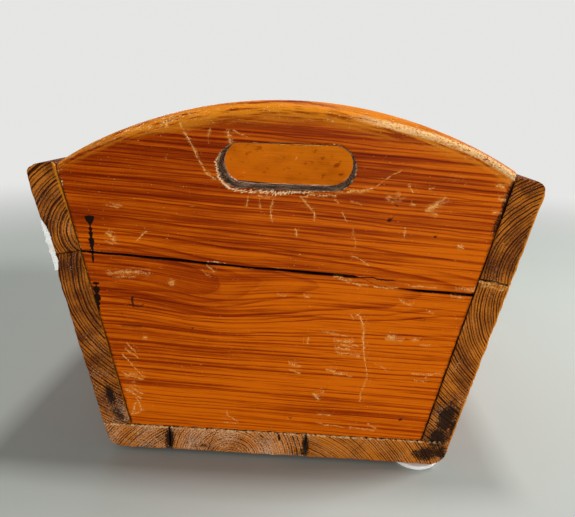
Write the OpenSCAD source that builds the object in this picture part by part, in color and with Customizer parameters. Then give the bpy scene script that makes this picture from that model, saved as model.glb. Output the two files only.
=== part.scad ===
// Bobbin box: an open carrying box of nailed pine boards, with flared sides and arched ends.
// Millimetres, +Z up. The origin is midway along and across the box, on the surface it stands on.
// The front end faces -Y. Heights named above_floor start at the top of the floor boards.

/* [Overall] */
// Length over both ends
box_l = 406; // [320:1:560]
// Inside width at the floor
inside_w = 230; // [200:1:300]
// Height of the sides above the floor, at their inner faces
side_h = 207; // [195:1:250]
// Lean of each side from upright, in degrees
side_lean = 11.2; // [5:0.1:16]

/* [Boards] */
// Thickness of the side planks
side_t = 22; // [18:0.5:26]
// Thickness of the floor boards
floor_t = 21; // [16:0.5:26]
// Thickness of the end boards
end_t = 26; // [24:0.5:32]
// Open joint between two boards that lie edge to edge
board_gap = 0.8; // [0.3:0.1:1.5]
// Slack between an end board and each side
end_slack = 0.4; // [0.2:0.1:0.8]

/* [Arched ends] */
// Rise of the arch above the tops of the sides
arch_rise = 44; // [38:1:56]
// Radius on both edges of the arch
arch_round = 11; // [6:0.5:11.5]
// Height of the end's joint above the floor, at the left side
end_seam_left = 143; // [130:1:150]
// Height of the end's joint above the floor, at the right side
end_seam_right = 122.5; // [112:0.5:135]
// Length of the hand hole
hole_l = 92; // [84:1:104]
// Height of the hand hole
hole_h = 30; // [27:1:34]
// Centre of the hand hole below the top of the arch
hole_drop = 43; // [36:1:48]
// Centre of the hand hole to the right of the middle
hole_shift = 4; // [0:1:8]
// Radius on both edges of the hand hole
hole_round = 3; // [1:0.5:5]

/* [Planked sides] */
// Width of the lower plank on the left
left_plank_w = 146; // [135:1:152]
// Width of the lower plank on the right
right_plank_w = 137; // [125:1:145]
// Radius on the upper outer edge of each side
side_round = 5; // [2:0.5:8]

/* [Floor] */
// Width of the left floor board
floor_left_w = 53; // [48:1:60]
// Width of the middle floor board
floor_mid_w = 108; // [96:1:120]
// Radius under the long edges of the floor
floor_round = 12; // [6:0.5:14]

/* [Cut nails] */
// Length of a nail
nail_l = 50; // [44:1:56]
// Width of a nail under its head
nail_w = 3.2; // [2.6:0.1:3.6]
// Width of a nail at its tip
nail_tip_w = 1.6; // [1:0.1:2]
// Thickness of a nail and its head
nail_t = 2.4; // [1.8:0.1:2.8]
// Width of a nail's head
nail_head_w = 6.4; // [5:0.1:7.5]
// Depth of a nail's head
nail_head_t = 1.5; // [1:0.1:2]
// Nails in the lower plank at each end
lower_nails = 3; // [2:1:3]
// Nails in the upper plank at each end
upper_nails = 2; // [1:1:2]
// Nails that hold the floor to each side
floor_side_nails = 4; // [3:1:6]
// Nearest that a nail comes to a board's edge
nail_margin = 18; // [15:1:20]
// How much further the lowest nail in a side keeps from the floor
nail_lift = 8; // [4:1:12]
// Nearest that a floor nail in a side comes to the inner face of an end
side_row_margin = 30; // [24:1:50]

/* [Felt pads] */
// Diameter of a felt pad
pad_d = 38; // [30:1:44]
// Thickness of a felt pad
pad_t = 3; // [2:0.5:5]
// Centre of each pad from the floor's long edge
pad_edge = 24; // [22:1:34]
// Centre of a pad from the end of the box
pad_inset = 30; // [26:1:45]
// Centre of the pad that was stuck on further out, at the front right
outer_pad_inset = 15; // [14:1:22]

/* [Paper label] */
// Length of the label along the side
label_l = 58; // [40:1:80]
// Height of the label up the side
label_h = 38; // [30:1:42]
// Thickness of the label
label_t = 0.3; // [0.2:0.05:0.5]
// Lower edge of the label, up the side from the floor
label_up = 134; // [125:1:138]
// Length of the worn hollow that the label starts in
hollow_l = 12; // [8:0.5:12]
// Depth of the worn hollow at the end of the box
hollow_d = 2.6; // [1.5:0.1:4]
// Height of the worn hollow beyond the label, above and below
hollow_spare = 2.5; // [1.5:0.5:4]

/* [Hidden] */
$fn = 64;

pine = [0.72, 0.34, 0.08];
end_grain_pine = [0.55, 0.28, 0.11];
floor_pine = [0.60, 0.31, 0.12];
iron = [0.20, 0.17, 0.15];
felt = [0.90, 0.89, 0.86];
paper = [0.93, 0.92, 0.89];

over = 1;                                   // how far a cutter runs past a face
floor_top = pad_t + floor_t;
lean = tan(side_lean);
side_w = side_h / cos(side_lean);           // a side's full width, measured up its slope
side_base_w = side_t / cos(side_lean);      // a side's thickness where it stands on the floor
floor_half = inside_w / 2 + side_base_w;    // half the floor's width at its top
arch_half = inside_w / 2 + side_h * lean;   // half the chord of the arch
arch_r = (arch_half * arch_half + arch_rise * arch_rise) / (2 * arch_rise);
end_top = side_h + arch_rise;               // the top of the arch above the floor
mid_left_x = floor_left_w - floor_half + board_gap / 2;   // middle of the left floor joint
mid_right_x = mid_left_x + floor_mid_w + board_gap;       // middle of the right floor joint
nail_row_gap = 6.6;                         // between the rows of side nails and floor nails in an end
side_nail_y = (end_t + nail_row_gap) / 2;   // row of the side nails, in from the end of the box
floor_nail_y = (end_t - nail_row_gap) / 2;  // row of the floor nails, in from the end of the box

// Half the inside width at a height above the floor.
function inner_half(above_floor) = inside_w / 2 + above_floor * lean;

// n places evenly spread from lo to hi, or their middle where n is 1.
function spread(lo, hi, n) =
    n == 1 ? [(lo + hi) / 2] : [for (i = [0 : n - 1]) lo + i * (hi - lo) / (n - 1)];

// Where the side nails go, up the slope: below and above the joint in the side and the one in the end.
function lower_spots(plank_w, seam) =
    spread(nail_margin + nail_lift, min(plank_w, seam / cos(side_lean)) - nail_margin, lower_nails);
function upper_spots(plank_w, seam) =
    spread(max(plank_w, seam / cos(side_lean)) + nail_margin, side_w - nail_margin, upper_nails);

// What a radius takes off a square corner at the origin, whose faces run along +X and +Y.
module corner_waste(r) {
    difference() {
        translate([-over, -over]) square(r + over);
        translate([r, r]) circle(r);
    }
}

// Turns a shape drawn in X and Z, as a plan of the box's cross-section, into a length of board.
module along_box(l) {
    rotate([90, 0, 0]) linear_extrude(l, center = true) children();
}

// The right side's own frame: X out through its thickness, Z up its slope, from its inner lower edge.
module on_right() {
    translate([inside_w / 2, 0, floor_top]) rotate([0, side_lean, 0]) children();
}

module on_left() {
    mirror([1, 0, 0]) on_right() children();
}

module at_rear() {
    mirror([0, 1, 0]) children();
}

// ---- Cut nails: tapered in one plane, with a head as thick as the shank ----

// One nail, driven along +Z with its head flush at Z 0. As a cutter, its head starts at -past.
module nail(past) {
    rotate([90, 0, 90]) linear_extrude(nail_t, center = true) polygon([
        [-nail_head_w / 2, -past], [nail_head_w / 2, -past],
        [nail_head_w / 2, nail_head_t], [nail_w / 2, nail_head_t],
        [nail_tip_w / 2, nail_l], [-nail_tip_w / 2, nail_l],
        [-nail_w / 2, nail_head_t], [-nail_head_w / 2, nail_head_t]
    ]);
}

// The nails through one side into the front end, in that side's frame.
module side_nail_row(plank_w, seam, past) {
    for (up = concat(lower_spots(plank_w, seam), upper_spots(plank_w, seam)))
        translate([side_t, side_nail_y - box_l / 2, up]) rotate([0, -90, 0]) nail(past);
}

module left_front_nails(past = 0) {
    on_left() side_nail_row(left_plank_w, end_seam_left, past);
}

module right_front_nails(past = 0) {
    on_right() side_nail_row(right_plank_w, end_seam_right, past);
}

// The nails up through the floor into the front end: one, two and two in its three boards.
module floor_front_nails(past = 0) {
    left_x = [(mid_left_x - inside_w / 2) / 2];
    mid_x = spread(mid_left_x + nail_margin, mid_right_x - nail_margin, 2);
    right_x = spread(mid_right_x + nail_margin, inside_w / 2 - nail_margin, 2);
    for (x = concat(left_x, mid_x, right_x))
        translate([x, floor_nail_y - box_l / 2, pad_t]) nail(past);
}

// The nails up through the floor into the right side.
module floor_right_nails(past = 0) {
    reach = box_l / 2 - end_t - side_row_margin;
    for (y = spread(-reach, reach, floor_side_nails))
        translate([floor_half - side_base_w / 2, y, pad_t]) nail(past);
}

module floor_left_nails(past = 0) {
    mirror([1, 0, 0]) floor_right_nails(past);
}

// The holes that the nails leave in the boards.
module left_side_holes() {
    left_front_nails(over);
    at_rear() left_front_nails(over);
    floor_left_nails(over);
}

module right_side_holes() {
    right_front_nails(over);
    at_rear() right_front_nails(over);
    floor_right_nails(over);
}

module floor_holes() {
    floor_front_nails(over);
    at_rear() floor_front_nails(over);
    floor_left_nails(over);
    floor_right_nails(over);
}

// ---- Sides: two planks each, the lower one cut level where it stands on the floor ----

module lower_plank(plank_w) {
    along_box(box_l) polygon([
        [0, 0], [side_t, side_t * lean], [side_t, plank_w], [0, plank_w]
    ]);
}

module upper_plank(plank_w) {
    along_box(box_l) difference() {
        translate([0, plank_w + board_gap]) square([side_t, side_w - plank_w - board_gap]);
        translate([side_t, side_w]) rotate(180) corner_waste(side_round);
        translate([0, side_w]) rotate(-90) corner_waste(side_round / 2);
    }
}

// The worn hollow on the left side's front edge, in that side's frame.
module hollow() {
    translate([0, -box_l / 2, label_up - hollow_spare])
        linear_extrude(label_h + 2 * hollow_spare) polygon([
            [side_t - hollow_d, 0], [side_t - hollow_d, -over], [side_t + over, -over],
            [side_t + over, hollow_l], [side_t, hollow_l]
        ]);
}

module left_side_lower() {
    color(end_grain_pine) difference() {
        on_left() difference() { lower_plank(left_plank_w); hollow(); }
        left_side_holes();
    }
}

module left_side_upper() {
    color(end_grain_pine) difference() {
        on_left() difference() { upper_plank(left_plank_w); hollow(); }
        left_side_holes();
    }
}

module right_side_lower() {
    color(end_grain_pine) difference() {
        on_right() lower_plank(right_plank_w);
        right_side_holes();
    }
}

module right_side_upper() {
    color(end_grain_pine) difference() {
        on_right() upper_plank(right_plank_w);
        right_side_holes();
    }
}

// ---- Ends: an arched upper board with the hand hole, over a plain lower board ----

// The x of an end board's edge at a height above the floor; side is -1 for the left or 1.
function end_edge(above_floor, side) = side * (inner_half(above_floor) - end_slack / cos(side_lean));

// A board of the front end, from one height to another at each side.
module end_slab(lo_left, lo_right, hi_left, hi_right) {
    translate([0, (end_t - box_l) / 2, floor_top]) along_box(end_t) polygon([
        [end_edge(lo_left, -1), lo_left], [end_edge(lo_right, 1), lo_right],
        [end_edge(hi_right, 1), hi_right], [end_edge(hi_left, -1), hi_left]
    ]);
}

// A disc with its face at Y 0, a rim that is rounded on both edges, and the end's thickness.
module round_rimmed_disc() {
    rotate([-90, 0, 0]) rotate_extrude() difference() {
        square([arch_r, end_t]);
        translate([arch_r, 0]) rotate(90) corner_waste(arch_round);
        translate([arch_r, end_t]) rotate(180) corner_waste(arch_round);
    }
}

// Half the section of the hand hole: X out from its middle, Y through the board.
module hole_section() {
    translate([0, -over]) square([hole_h / 2, end_t + 2 * over]);
    translate([hole_h / 2, 0]) corner_waste(hole_round);
    translate([hole_h / 2, end_t]) rotate(-90) corner_waste(hole_round);
}

// The slot with round ends, flared at both mouths, centred on X 0 and Z 0.
module hand_hole() {
    straight = hole_l - hole_h;
    for (side = [-1, 1])
        translate([side * straight / 2, 0, 0]) rotate([-90, 0, 0]) rotate_extrude() hole_section();
    for (half = [0, 1])
        mirror([0, 0, half]) rotate([0, -90, 0]) linear_extrude(straight, center = true) hole_section();
}

module front_end_upper_body() {
    difference() {
        intersection() {
            end_slab(end_seam_left + board_gap, end_seam_right + board_gap, end_top + over, end_top + over);
            translate([0, -box_l / 2, floor_top + end_top - arch_r]) round_rimmed_disc();
        }
        translate([hole_shift, -box_l / 2, floor_top + end_top - hole_drop]) hand_hole();
        left_front_nails();
        right_front_nails();
    }
}

module front_end_lower_body() {
    difference() {
        end_slab(0, 0, end_seam_left, end_seam_right);
        left_front_nails();
        right_front_nails();
        floor_front_nails();
    }
}

// ---- Floor: three boards along the box, the outer two rounded under their long edges ----

// The floor's whole section, whose long edges carry on the slope of the sides.
module floor_section() {
    foot_half = floor_half - floor_t * lean;
    round_x = foot_half - floor_round * tan(45 - side_lean / 2);
    round_z = floor_round * (1 - sin(side_lean));
    difference() {
        polygon([
            [-foot_half, 0], [foot_half, 0], [floor_half, floor_t], [-floor_half, floor_t]
        ]);
        for (side = [0, 1]) mirror([side, 0]) difference() {
            polygon([
                [round_x, -over], [floor_half, -over],
                [floor_half, round_z], [round_x + floor_round * cos(side_lean), round_z],
                [round_x, floor_round]
            ]);
            translate([round_x, floor_round]) circle(floor_round);
        }
    }
}

module floor_board(from_x, to_x) {
    color(floor_pine) difference() {
        translate([0, 0, pad_t]) along_box(box_l) intersection() {
            floor_section();
            translate([from_x, 0]) square([to_x - from_x, floor_t]);
        }
        floor_holes();
    }
}

module floor_left() {
    floor_board(-floor_half, mid_left_x - board_gap / 2);
}

module floor_middle() {
    floor_board(mid_left_x + board_gap / 2, mid_right_x - board_gap / 2);
}

module floor_right() {
    floor_board(mid_right_x + board_gap / 2, floor_half);
}

// ---- Felt pads and the paper label ----

module felt_pad(x, y) {
    color(felt) translate([x, y, 0]) cylinder(h = pad_t, d = pad_d);
}

// The label starts in the worn hollow and then lies flat on the left side.
module paper_label() {
    flat_x = side_t + label_t;
    color(paper) on_left() translate([0, -box_l / 2, label_up]) linear_extrude(label_h) polygon([
        [side_t - hollow_d, 0], [side_t, hollow_l], [side_t, label_l],
        [flat_x, label_l], [flat_x, hollow_l], [flat_x - hollow_d, 0]
    ]);
}

pad_x = floor_half - pad_edge;
pad_y = box_l / 2 - pad_inset;

color(pine) front_end_upper_body();  // front_end_upper
color(pine) front_end_lower_body();  // front_end_lower
color(pine) at_rear() front_end_upper_body();  // rear_end_upper
color(pine) at_rear() front_end_lower_body();  // rear_end_lower
left_side_upper();
left_side_lower();
right_side_upper();
right_side_lower();
floor_left();
floor_middle();
floor_right();
color(iron) left_front_nails();  // nails_left_front
color(iron) at_rear() left_front_nails();  // nails_left_rear
color(iron) right_front_nails();  // nails_right_front
color(iron) at_rear() right_front_nails();  // nails_right_rear
color(iron) floor_front_nails();  // nails_floor_front
color(iron) at_rear() floor_front_nails();  // nails_floor_rear
color(iron) floor_left_nails();  // nails_floor_left
color(iron) floor_right_nails();  // nails_floor_right
felt_pad(-pad_x, -pad_y);  // felt_pad_front_left
felt_pad(pad_x, outer_pad_inset - box_l / 2);  // felt_pad_front_right
felt_pad(-pad_x, pad_y);  // felt_pad_rear_left
felt_pad(pad_x, pad_y);  // felt_pad_rear_right
paper_label();
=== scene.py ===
"""The looks of the bobbin box: worn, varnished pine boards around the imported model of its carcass."""

import math

import bpy
import mathutils
import numpy as np
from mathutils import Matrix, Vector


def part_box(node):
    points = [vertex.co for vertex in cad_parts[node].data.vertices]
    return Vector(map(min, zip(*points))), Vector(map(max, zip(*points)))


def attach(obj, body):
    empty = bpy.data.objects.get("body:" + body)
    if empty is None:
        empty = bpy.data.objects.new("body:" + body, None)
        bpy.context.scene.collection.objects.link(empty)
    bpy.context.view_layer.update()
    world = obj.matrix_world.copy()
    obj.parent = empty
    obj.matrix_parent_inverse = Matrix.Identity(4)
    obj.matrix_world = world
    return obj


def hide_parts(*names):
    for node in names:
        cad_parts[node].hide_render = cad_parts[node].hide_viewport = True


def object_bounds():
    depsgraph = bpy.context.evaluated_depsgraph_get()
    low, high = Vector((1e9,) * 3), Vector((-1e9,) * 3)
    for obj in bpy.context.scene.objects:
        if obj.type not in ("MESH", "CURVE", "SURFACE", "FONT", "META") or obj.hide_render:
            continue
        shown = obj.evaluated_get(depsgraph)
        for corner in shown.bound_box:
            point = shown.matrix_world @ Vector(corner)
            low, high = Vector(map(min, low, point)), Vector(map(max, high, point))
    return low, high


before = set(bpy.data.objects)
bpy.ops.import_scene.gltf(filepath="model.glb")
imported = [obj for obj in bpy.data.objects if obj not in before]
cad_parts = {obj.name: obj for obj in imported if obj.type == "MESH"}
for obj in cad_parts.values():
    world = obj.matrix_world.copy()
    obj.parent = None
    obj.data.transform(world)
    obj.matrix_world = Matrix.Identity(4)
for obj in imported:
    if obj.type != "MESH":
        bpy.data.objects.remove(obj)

bl_info = {
    "name": "Bobbin Box",
    "version": (1, 0, 0),
    "blender": (4, 5, 0),
    "location": "View3D > Sidebar > Bobbin Box",
    "description": "Builds a worn pine bobbin box around its packed carcass",
    "category": "Add Mesh",
}

MM = 0.001
CAD_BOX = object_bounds()


# ---- The carcass's sizes, read from the frame's boxes ----

def low(node, axis):
    """The lowest coordinate of a node along an axis."""
    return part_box(node)[0]["XYZ".index(axis)]


def high(node, axis):
    """The highest coordinate of a node along an axis."""
    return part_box(node)[1]["XYZ".index(axis)]


FRONT = low("front_end_lower", "Y")                  # the plane of the front end's face
END_T = high("front_end_lower", "Y") - FRONT         # thickness of an end board
FLOOR_TOP = low("front_end_lower", "Z")
FLOOR_LOW = low("floor_middle", "Z")
INSIDE_HALF = low("right_side_lower", "X")           # half the inside width at the floor
FLOOR_HALF = high("floor_right", "X")
END_TOP = high("front_end_upper", "Z")
SEAM_LEFT = high("front_end_lower", "Z")             # the end's joint at the left side
END_BACK = -(FRONT + END_T) / MM                     # distance of an end's inner face from the middle, mm
SIDE_GAP = 0.55 * MM                                 # gap between an end board and a side
SIDE_SEAMS = {False: 146 * MM, True: 137 * MM}       # the joint of each side, up its slope: left, right

# Where the nails stand, in millimetres. The floor's nails are in rows, one under each end and one under
# each side.
NAIL_UPS = {False: (26, 76.9, 127.8, 164, 193), True: (26, 66.4, 106.9, 155, 193)}     # up the side's slope
SIDE_NAIL_Y = 186.7                                  # of a side's nails, from the middle along the box
END_ROW_Y = 193.3
END_ROW_XS = (-99.5, -66.0, 6.8, 42.8, 97.0)
SIDE_ROW_X = 126.2
SIDE_ROW_YS = (-147, -49, 49, 147)

# Distances from a board's edge at which its lattice has closer lines, in millimetres.
EDGE_LINES = (0.25, 0.6, 1.1, 1.8, 2.8)
LONG_EDGE_LINES = (0.25, 0.6, 1.1, 1.7, 2.4, 3.2, 4.1, 5.1, 6.2)
FELT_EDGE_LINES = (0.15, 0.4, 0.8)

# The rings of each plank: the pith's place to the right and up and the rings' width, in millimetres, then
# how dark the plank's ends are, and how much of them is torn.
RINGS = {
    "left_lower": (-75.0, 150.0, 2.4, 0.30, 0.2),
    "left_upper": (-134.0, 181.0, 2.5, 0.20, 0.2),
    "right_lower": (203.0, 140.0, 1.9, 0.12, 0.1),
    "right_upper": (198.0, 162.0, 2.1, 0.25, 0.2),
    "left_floor": (-30.0, -70.0, 1.9, -0.1, 0.5),
    "middle_floor": (-35.0, -3.0, 1.9, -0.15, 0.5),
    "right_floor": (0.0, -60.0, 1.7, -0.1, 0.0),
}

# Strokes on the front end, in millimetres: (tone, half width, path of (x, z)).
FRONT_STROKES = (
    (1.0, 0.9, ((-77, 256), (-77, 260))),
    (0.75, 0.55, ((-67, 258), (-62, 248), (-58, 240), (-55, 232), (-48, 225), (-45, 222))),
    (0.35, 0.5, ((-48, 247), (-48, 255))),
    (0.6, 0.8, ((-36, 254), (-34, 244))),
    (0.6, 0.3, ((-32, 255), (-27, 252.5), (-22, 251))),
    (0.6, 0.4, ((-121, 201), (-113, 200))),
    (0.45, 0.4, ((-118, 203), (-111, 201.5))),
    (0.8, 0.8, ((-122, 181), (-119, 178), (-117, 174))),
    (0.5, 0.5, ((-124, 176), (-119, 173))),
    (0.8, 0.35, ((-93, 184), (-97, 180.5), (-101, 177))),
    (0.9, 0.6, ((38, 216.3), (48, 216.8), (56, 218.6), (62, 220))),
    (0.6, 0.3, ((64, 221), (71, 226), (79, 232))),
    (0.65, 0.4, ((-22, 210), (-22.5, 205))),
    (0.7, 0.4, ((-5, 210), (-7, 203), (-5, 195))),
    (0.5, 0.4, ((-14, 209), (-13, 201))),
    (0.75, 0.5, ((14, 212.5), (26, 213.5), (37, 214))),
    (0.6, 0.4, ((15, 211), (20, 206), (24, 202), (24, 197))),
    (0.6, 0.4, ((37, 211), (39, 209))),
    (0.6, 0.4, ((43, 202), (46, 197))),
    (0.55, 0.4, ((49, 210), (55, 208))),
    (0.75, 0.5, ((11, 185), (11, 189))),
    (0.6, 0.35, ((86, 186), (86, 194))),
    (0.3, 0.35, ((51, 191), (54, 176))),
    (0.75, 0.35, ((52, 171), (58, 169), (63, 166))),
    (-0.9, 1.3, ((74, 199), (76, 198.5))),
    (-0.7, 0.7, ((79, 209), (80, 208.6))),
    (-0.9, 0.8, ((106.6, 188), (107.6, 188))),
    (0.8, 0.5, ((86, 223), (89, 218))),
    (0.7, 0.5, ((100, 221), (102, 221))),
    (0.8, 0.4, ((89, 210), (91, 209.5))),
    (0.35, 1.2, ((112, 215), (106, 211), (99, 206))),
    (0.35, 0.9, ((99, 206), (103, 205), (107, 203))),
    (0.9, 0.7, ((124, 183), (127, 181))),
    (0.8, 0.8, ((144, 223.5), (149, 222.5))),
    (0.7, 0.6, ((146, 216.2), (150, 215.8))),
    (0.7, 0.6, ((144, 206.2), (148, 206.4))),
    (0.8, 0.7, ((-77, 260), (-70, 262))),
    (-0.95, 0.5, ((54, 156.7), (66, 155.9), (82, 154.7))),
    (-0.5, 0.3, ((82, 154.7), (95, 154.0))),
    (0.85, 0.6, ((40, 155.9), (46, 155.6))),
    (0.7, 0.5, ((44, 154.2), (52, 153.8))),
    (0.75, 0.4, ((50, 152.2), (63, 150.2))),
    (0.75, 0.4, ((69, 149.8), (85, 149.2))),
    (0.5, 0.8, ((126, 151.4), (140, 149.6))),
    (0.6, 0.6, ((123, 145.4), (132, 144.9))),
    (0.6, 0.5, ((88, 140), (96, 136.5))),
    (0.6, 0.9, ((-124, 151), (-108, 153), (-93, 152))),
    (0.5, 0.5, ((-120, 148.5), (-104, 149.5))),
    (-0.8, 0.8, ((-107, 133), (-107, 126))),
    (-0.7, 0.5, ((-110, 127), (-103, 126), (-99, 128))),
    (-0.45, 1.0, ((-116, 110), (-102, 110))),
    (-0.9, 0.6, ((-63.3, 110), (-62.5, 110))),
    (0.95, 0.7, ((-100, 101.3), (-98, 101))),
    (0.8, 0.4, ((-119, 71), (-111, 67), (-103, 66))),
    (0.85, 0.5, ((-117, 69), (-108, 70))),
    (0.8, 0.45, ((-117, 56), (-106, 49))),
    (0.8, 0.45, ((-112, 57), (-104, 53))),
    (0.95, 0.5, ((-110, 44), (-113, 34))),
    (0.85, 0.4, ((-113, 34), (-104, 38))),
    (0.75, 0.4, ((-109, 48), (-105, 38))),
    (0.75, 0.35, ((-113, 95), (-108, 89))),
    (0.8, 0.35, ((-117, 86), (-110, 77), (-103, 68))),
    (0.7, 0.35, ((-115, 91), (-106, 84))),
    (0.8, 0.5, ((56, 126), (58, 128), (60, 127), (63, 118), (64, 106), (65, 95))),
    (0.6, 0.35, ((65, 95), (67, 86), (69, 77), (67, 70), (65, 65), (64, 57))),
    (0.55, 0.35, ((53, 127), (56, 124))),
    (0.6, 0.4, ((34, 113), (43, 112), (51, 110))),
    (0.75, 0.7, ((43, 106), (56, 106))),
    (0.65, 0.7, ((44, 100.5), (56, 100))),
    (0.7, 0.6, ((45, 96), (53, 96), (61, 95))),
    (0.6, 0.4, ((48, 103), (60, 102.5))),
    (0.8, 0.8, ((81, 112), (86, 111))),
    (0.45, 0.9, ((80, 109.5), (92, 109))),
    (0.7, 0.6, ((98, 110), (104, 110))),
    (0.5, 0.5, ((106, 106), (112, 105.5))),
    (0.85, 0.45, ((23, 103), (23.5, 107))),
    (0.6, 0.6, ((10, 86), (18, 84))),
    (0.65, 0.7, ((12, 80), (18, 78))),
    (0.7, 0.6, ((38, 82), (44, 81))),
    (0.6, 0.6, ((44, 79), (57, 78))),
    (0.5, 0.3, ((74, 89), (83, 84))),
    (0.9, 0.7, ((29, 60.5), (33, 56))),
    (0.8, 0.5, ((35, 62), (37, 63))),
    (0.6, 0.5, ((34, 43.5), (43, 43.2))),
    (0.6, 0.4, ((33, 35), (53, 33))),
    (0.45, 0.5, ((58, 33), (77, 31))),
    (0.6, 0.4, ((72, 37), (79, 33))),
    (0.6, 0.4, ((-40, 31.5), (-30, 31))),
    (0.55, 0.4, ((118, 83), (112, 80))),
    (0.5, 0.4, ((102, 82), (124, 83))),
    (0.5, 0.4, ((104, 77), (112, 76.5))),
    (-0.8, 0.9, ((96.3, 43), (98, 43.2))),
    (-0.8, 0.5, ((11.6, 38), (12.4, 38))),
    (-0.6, 0.5, ((38, 65), (38.8, 65))),
    (0.6, 0.35, ((-30, 33), (-36, 37), (-38, 42))),
    (0.5, 0.4, ((-55, 157), (-49, 152))),
    (0.7, 0.4, ((-51, 161), (-47, 156))),
    (0.6, 0.35, ((92, 152), (112, 150.8))),
    (0.5, 0.4, ((0, 141), (6, 139.5))),
    (0.75, 0.6, ((19.5, 139.6), (22, 139.2))),
    (0.6, 0.45, ((107, 134), (112, 131))),
)

# The black drips on the front end: middle line, then (height, half width) from the top down, in
# millimetres.
FRONT_DRIPS = (
    (-134.2, ((193.6, 0.0), (193.2, 3.4), (191.5, 3.5), (189.0, 2.4), (187.0, 0.9), (185.6, 0.4),
              (184.3, 1.4), (183.2, 1.5), (182.3, 0.7), (181.0, 1.6), (179.3, 1.4), (177.9, 0.9),
              (176.3, 2.0), (174.6, 2.1), (172.4, 1.8), (169.8, 1.0), (168.0, 1.6), (166.4, 1.2),
              (164.0, 0.5), (162.5, 1.0), (160.8, 0.9), (157.5, 0.0))),
    (-133.5, ((144.0, 0.0), (143.6, 2.6), (142.2, 2.4), (141.8, 0.5), (140.6, 0.6), (139.9, 2.4),
              (138.0, 2.7), (136.2, 1.8), (135.0, 0.8), (134.0, 2.2), (131.4, 2.9), (129.8, 2.5),
              (128.8, 0.9), (127.9, 2.1), (126.3, 2.1), (125.2, 0.9), (124.0, 1.6), (121.5, 1.2),
              (119.5, 0.0))),
)

# Soft spots on the front end: (strength, x, z, radius along, radius across, turn in degrees).
FRONT_SPOTS = (
    (0.55, -78, 236, 6, 4, 10),
    (0.75, -85, 157, 2.4, 3.2, 0),
    (0.95, -77.5, 146, 4.2, 4.6, 0),
    (0.5, -72, 133, 1.8, 3.5, 0),
    (0.5, -72, 128, 2.2, 1.8, 0),
    (0.8, -12, 211.5, 14, 2.4, 0),
    (0.35, -33, 218, 7, 4, -40),
    (0.95, 104, 209, 10, 4, 40),
    (0.5, 125, 248, 16, 4, -20),
    (0.45, 50, 101, 12, 7, 0),
    (0.6, -112, 60, 9, 17, 20),
    (0.7, -113, 67, 9, 3.4, 0),
    (0.5, -108, 40, 6, 12, 0),
    (0.55, 118, 228, 18, 7, -10),
    (0.7, 78, 214, 12, 8, 0),
    (0.3, 104, 80, 10, 6, 0),
    (-1.0, 153, 216, 4.0, 20, -11),
    (-0.8, 149, 198, 4.5, 12, -11),
    (-0.4, 106, 126, 9, 3, 0),
    (-0.35, -115, 118, 12, 5, 0),
    (-0.5, 97, 43, 4, 3, 0),
    (-0.35, 126, 70, 9, 5, 0),
)

# Soft spots on the rear end, in the same terms.
REAR_SPOTS = (
    (0.5, 60, 230, 9, 5, 20),
    (0.5, -95, 120, 12, 4, 8),
    (0.4, 30, 60, 16, 9, -15),
    (0.4, -60, 190, 10, 7, 30),
    (-0.6, 118, 52, 6, 14, 10),
    (-0.5, -120, 96, 5, 18, -8),
    (-0.7, 40, 172, 4, 4, 0),
)

# Soot round the carcass's lower corners, where the nails have stained both ends of the boards, and painted
# shade as dark smears at two of the floor boards' joints.
SOOT_AND_JOINT_SHADE = (
    (-1.0, 132, 46, 9, 18, -14),
    (-1.0, 127, 28, 9, 12, 0),
    (-1.0, 121, 13, 14, 8, 10),
    (-0.9, 131, 15, 6, 8, 0),
    (-0.9, 138, 38, 5, 9, 0),
    (-0.9, -130, 50, 4.5, 15, 12),
    (-0.7, -124, 34, 7, 11, 12),
    # The next two are painted shade at the floor boards' joints.
    (-1.0, -84, 12, 4.5, 14, 0),
    (-1.0, 24.6, 13, 3.4, 14, 0),
    (-0.6, -60, 8, 12, 4, 0),
    (-0.5, -134, 14, 5, 8, 0),
    (-0.5, 150, 148, 6, 6, 0),
    (-0.6, -151, 165, 5, 5, 0),
)

# The slot in the floor's front end, painted black as the shade inside it, and the checks beside it.
FLOOR_STROKES = (
    (-1.0, 0.9, ((4, 17.5), (4, 22.5))),
    (0.8, 0.4, ((3.7, 11.5), (3.9, 16.0))),
    (-0.7, 0.35, ((-52, 9), (-47, 21))),
    (-0.6, 0.3, ((60, 8), (71, 20))),
)

# The split edge of the right side's joint, on its front end.
JOINT_STROKES = (
    (-0.9, 0.55, ((141, 158.6), (147, 157.4), (152, 157.6), (158, 155.2), (164, 154.2))),
    (0.95, 0.8, ((141, 156.6), (148, 155.4), (153, 155.8), (160, 153.2), (164, 152.6))),
    (0.6, 0.5, ((143, 153.8), (151, 153.0), (158, 151.0))),
)


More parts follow.
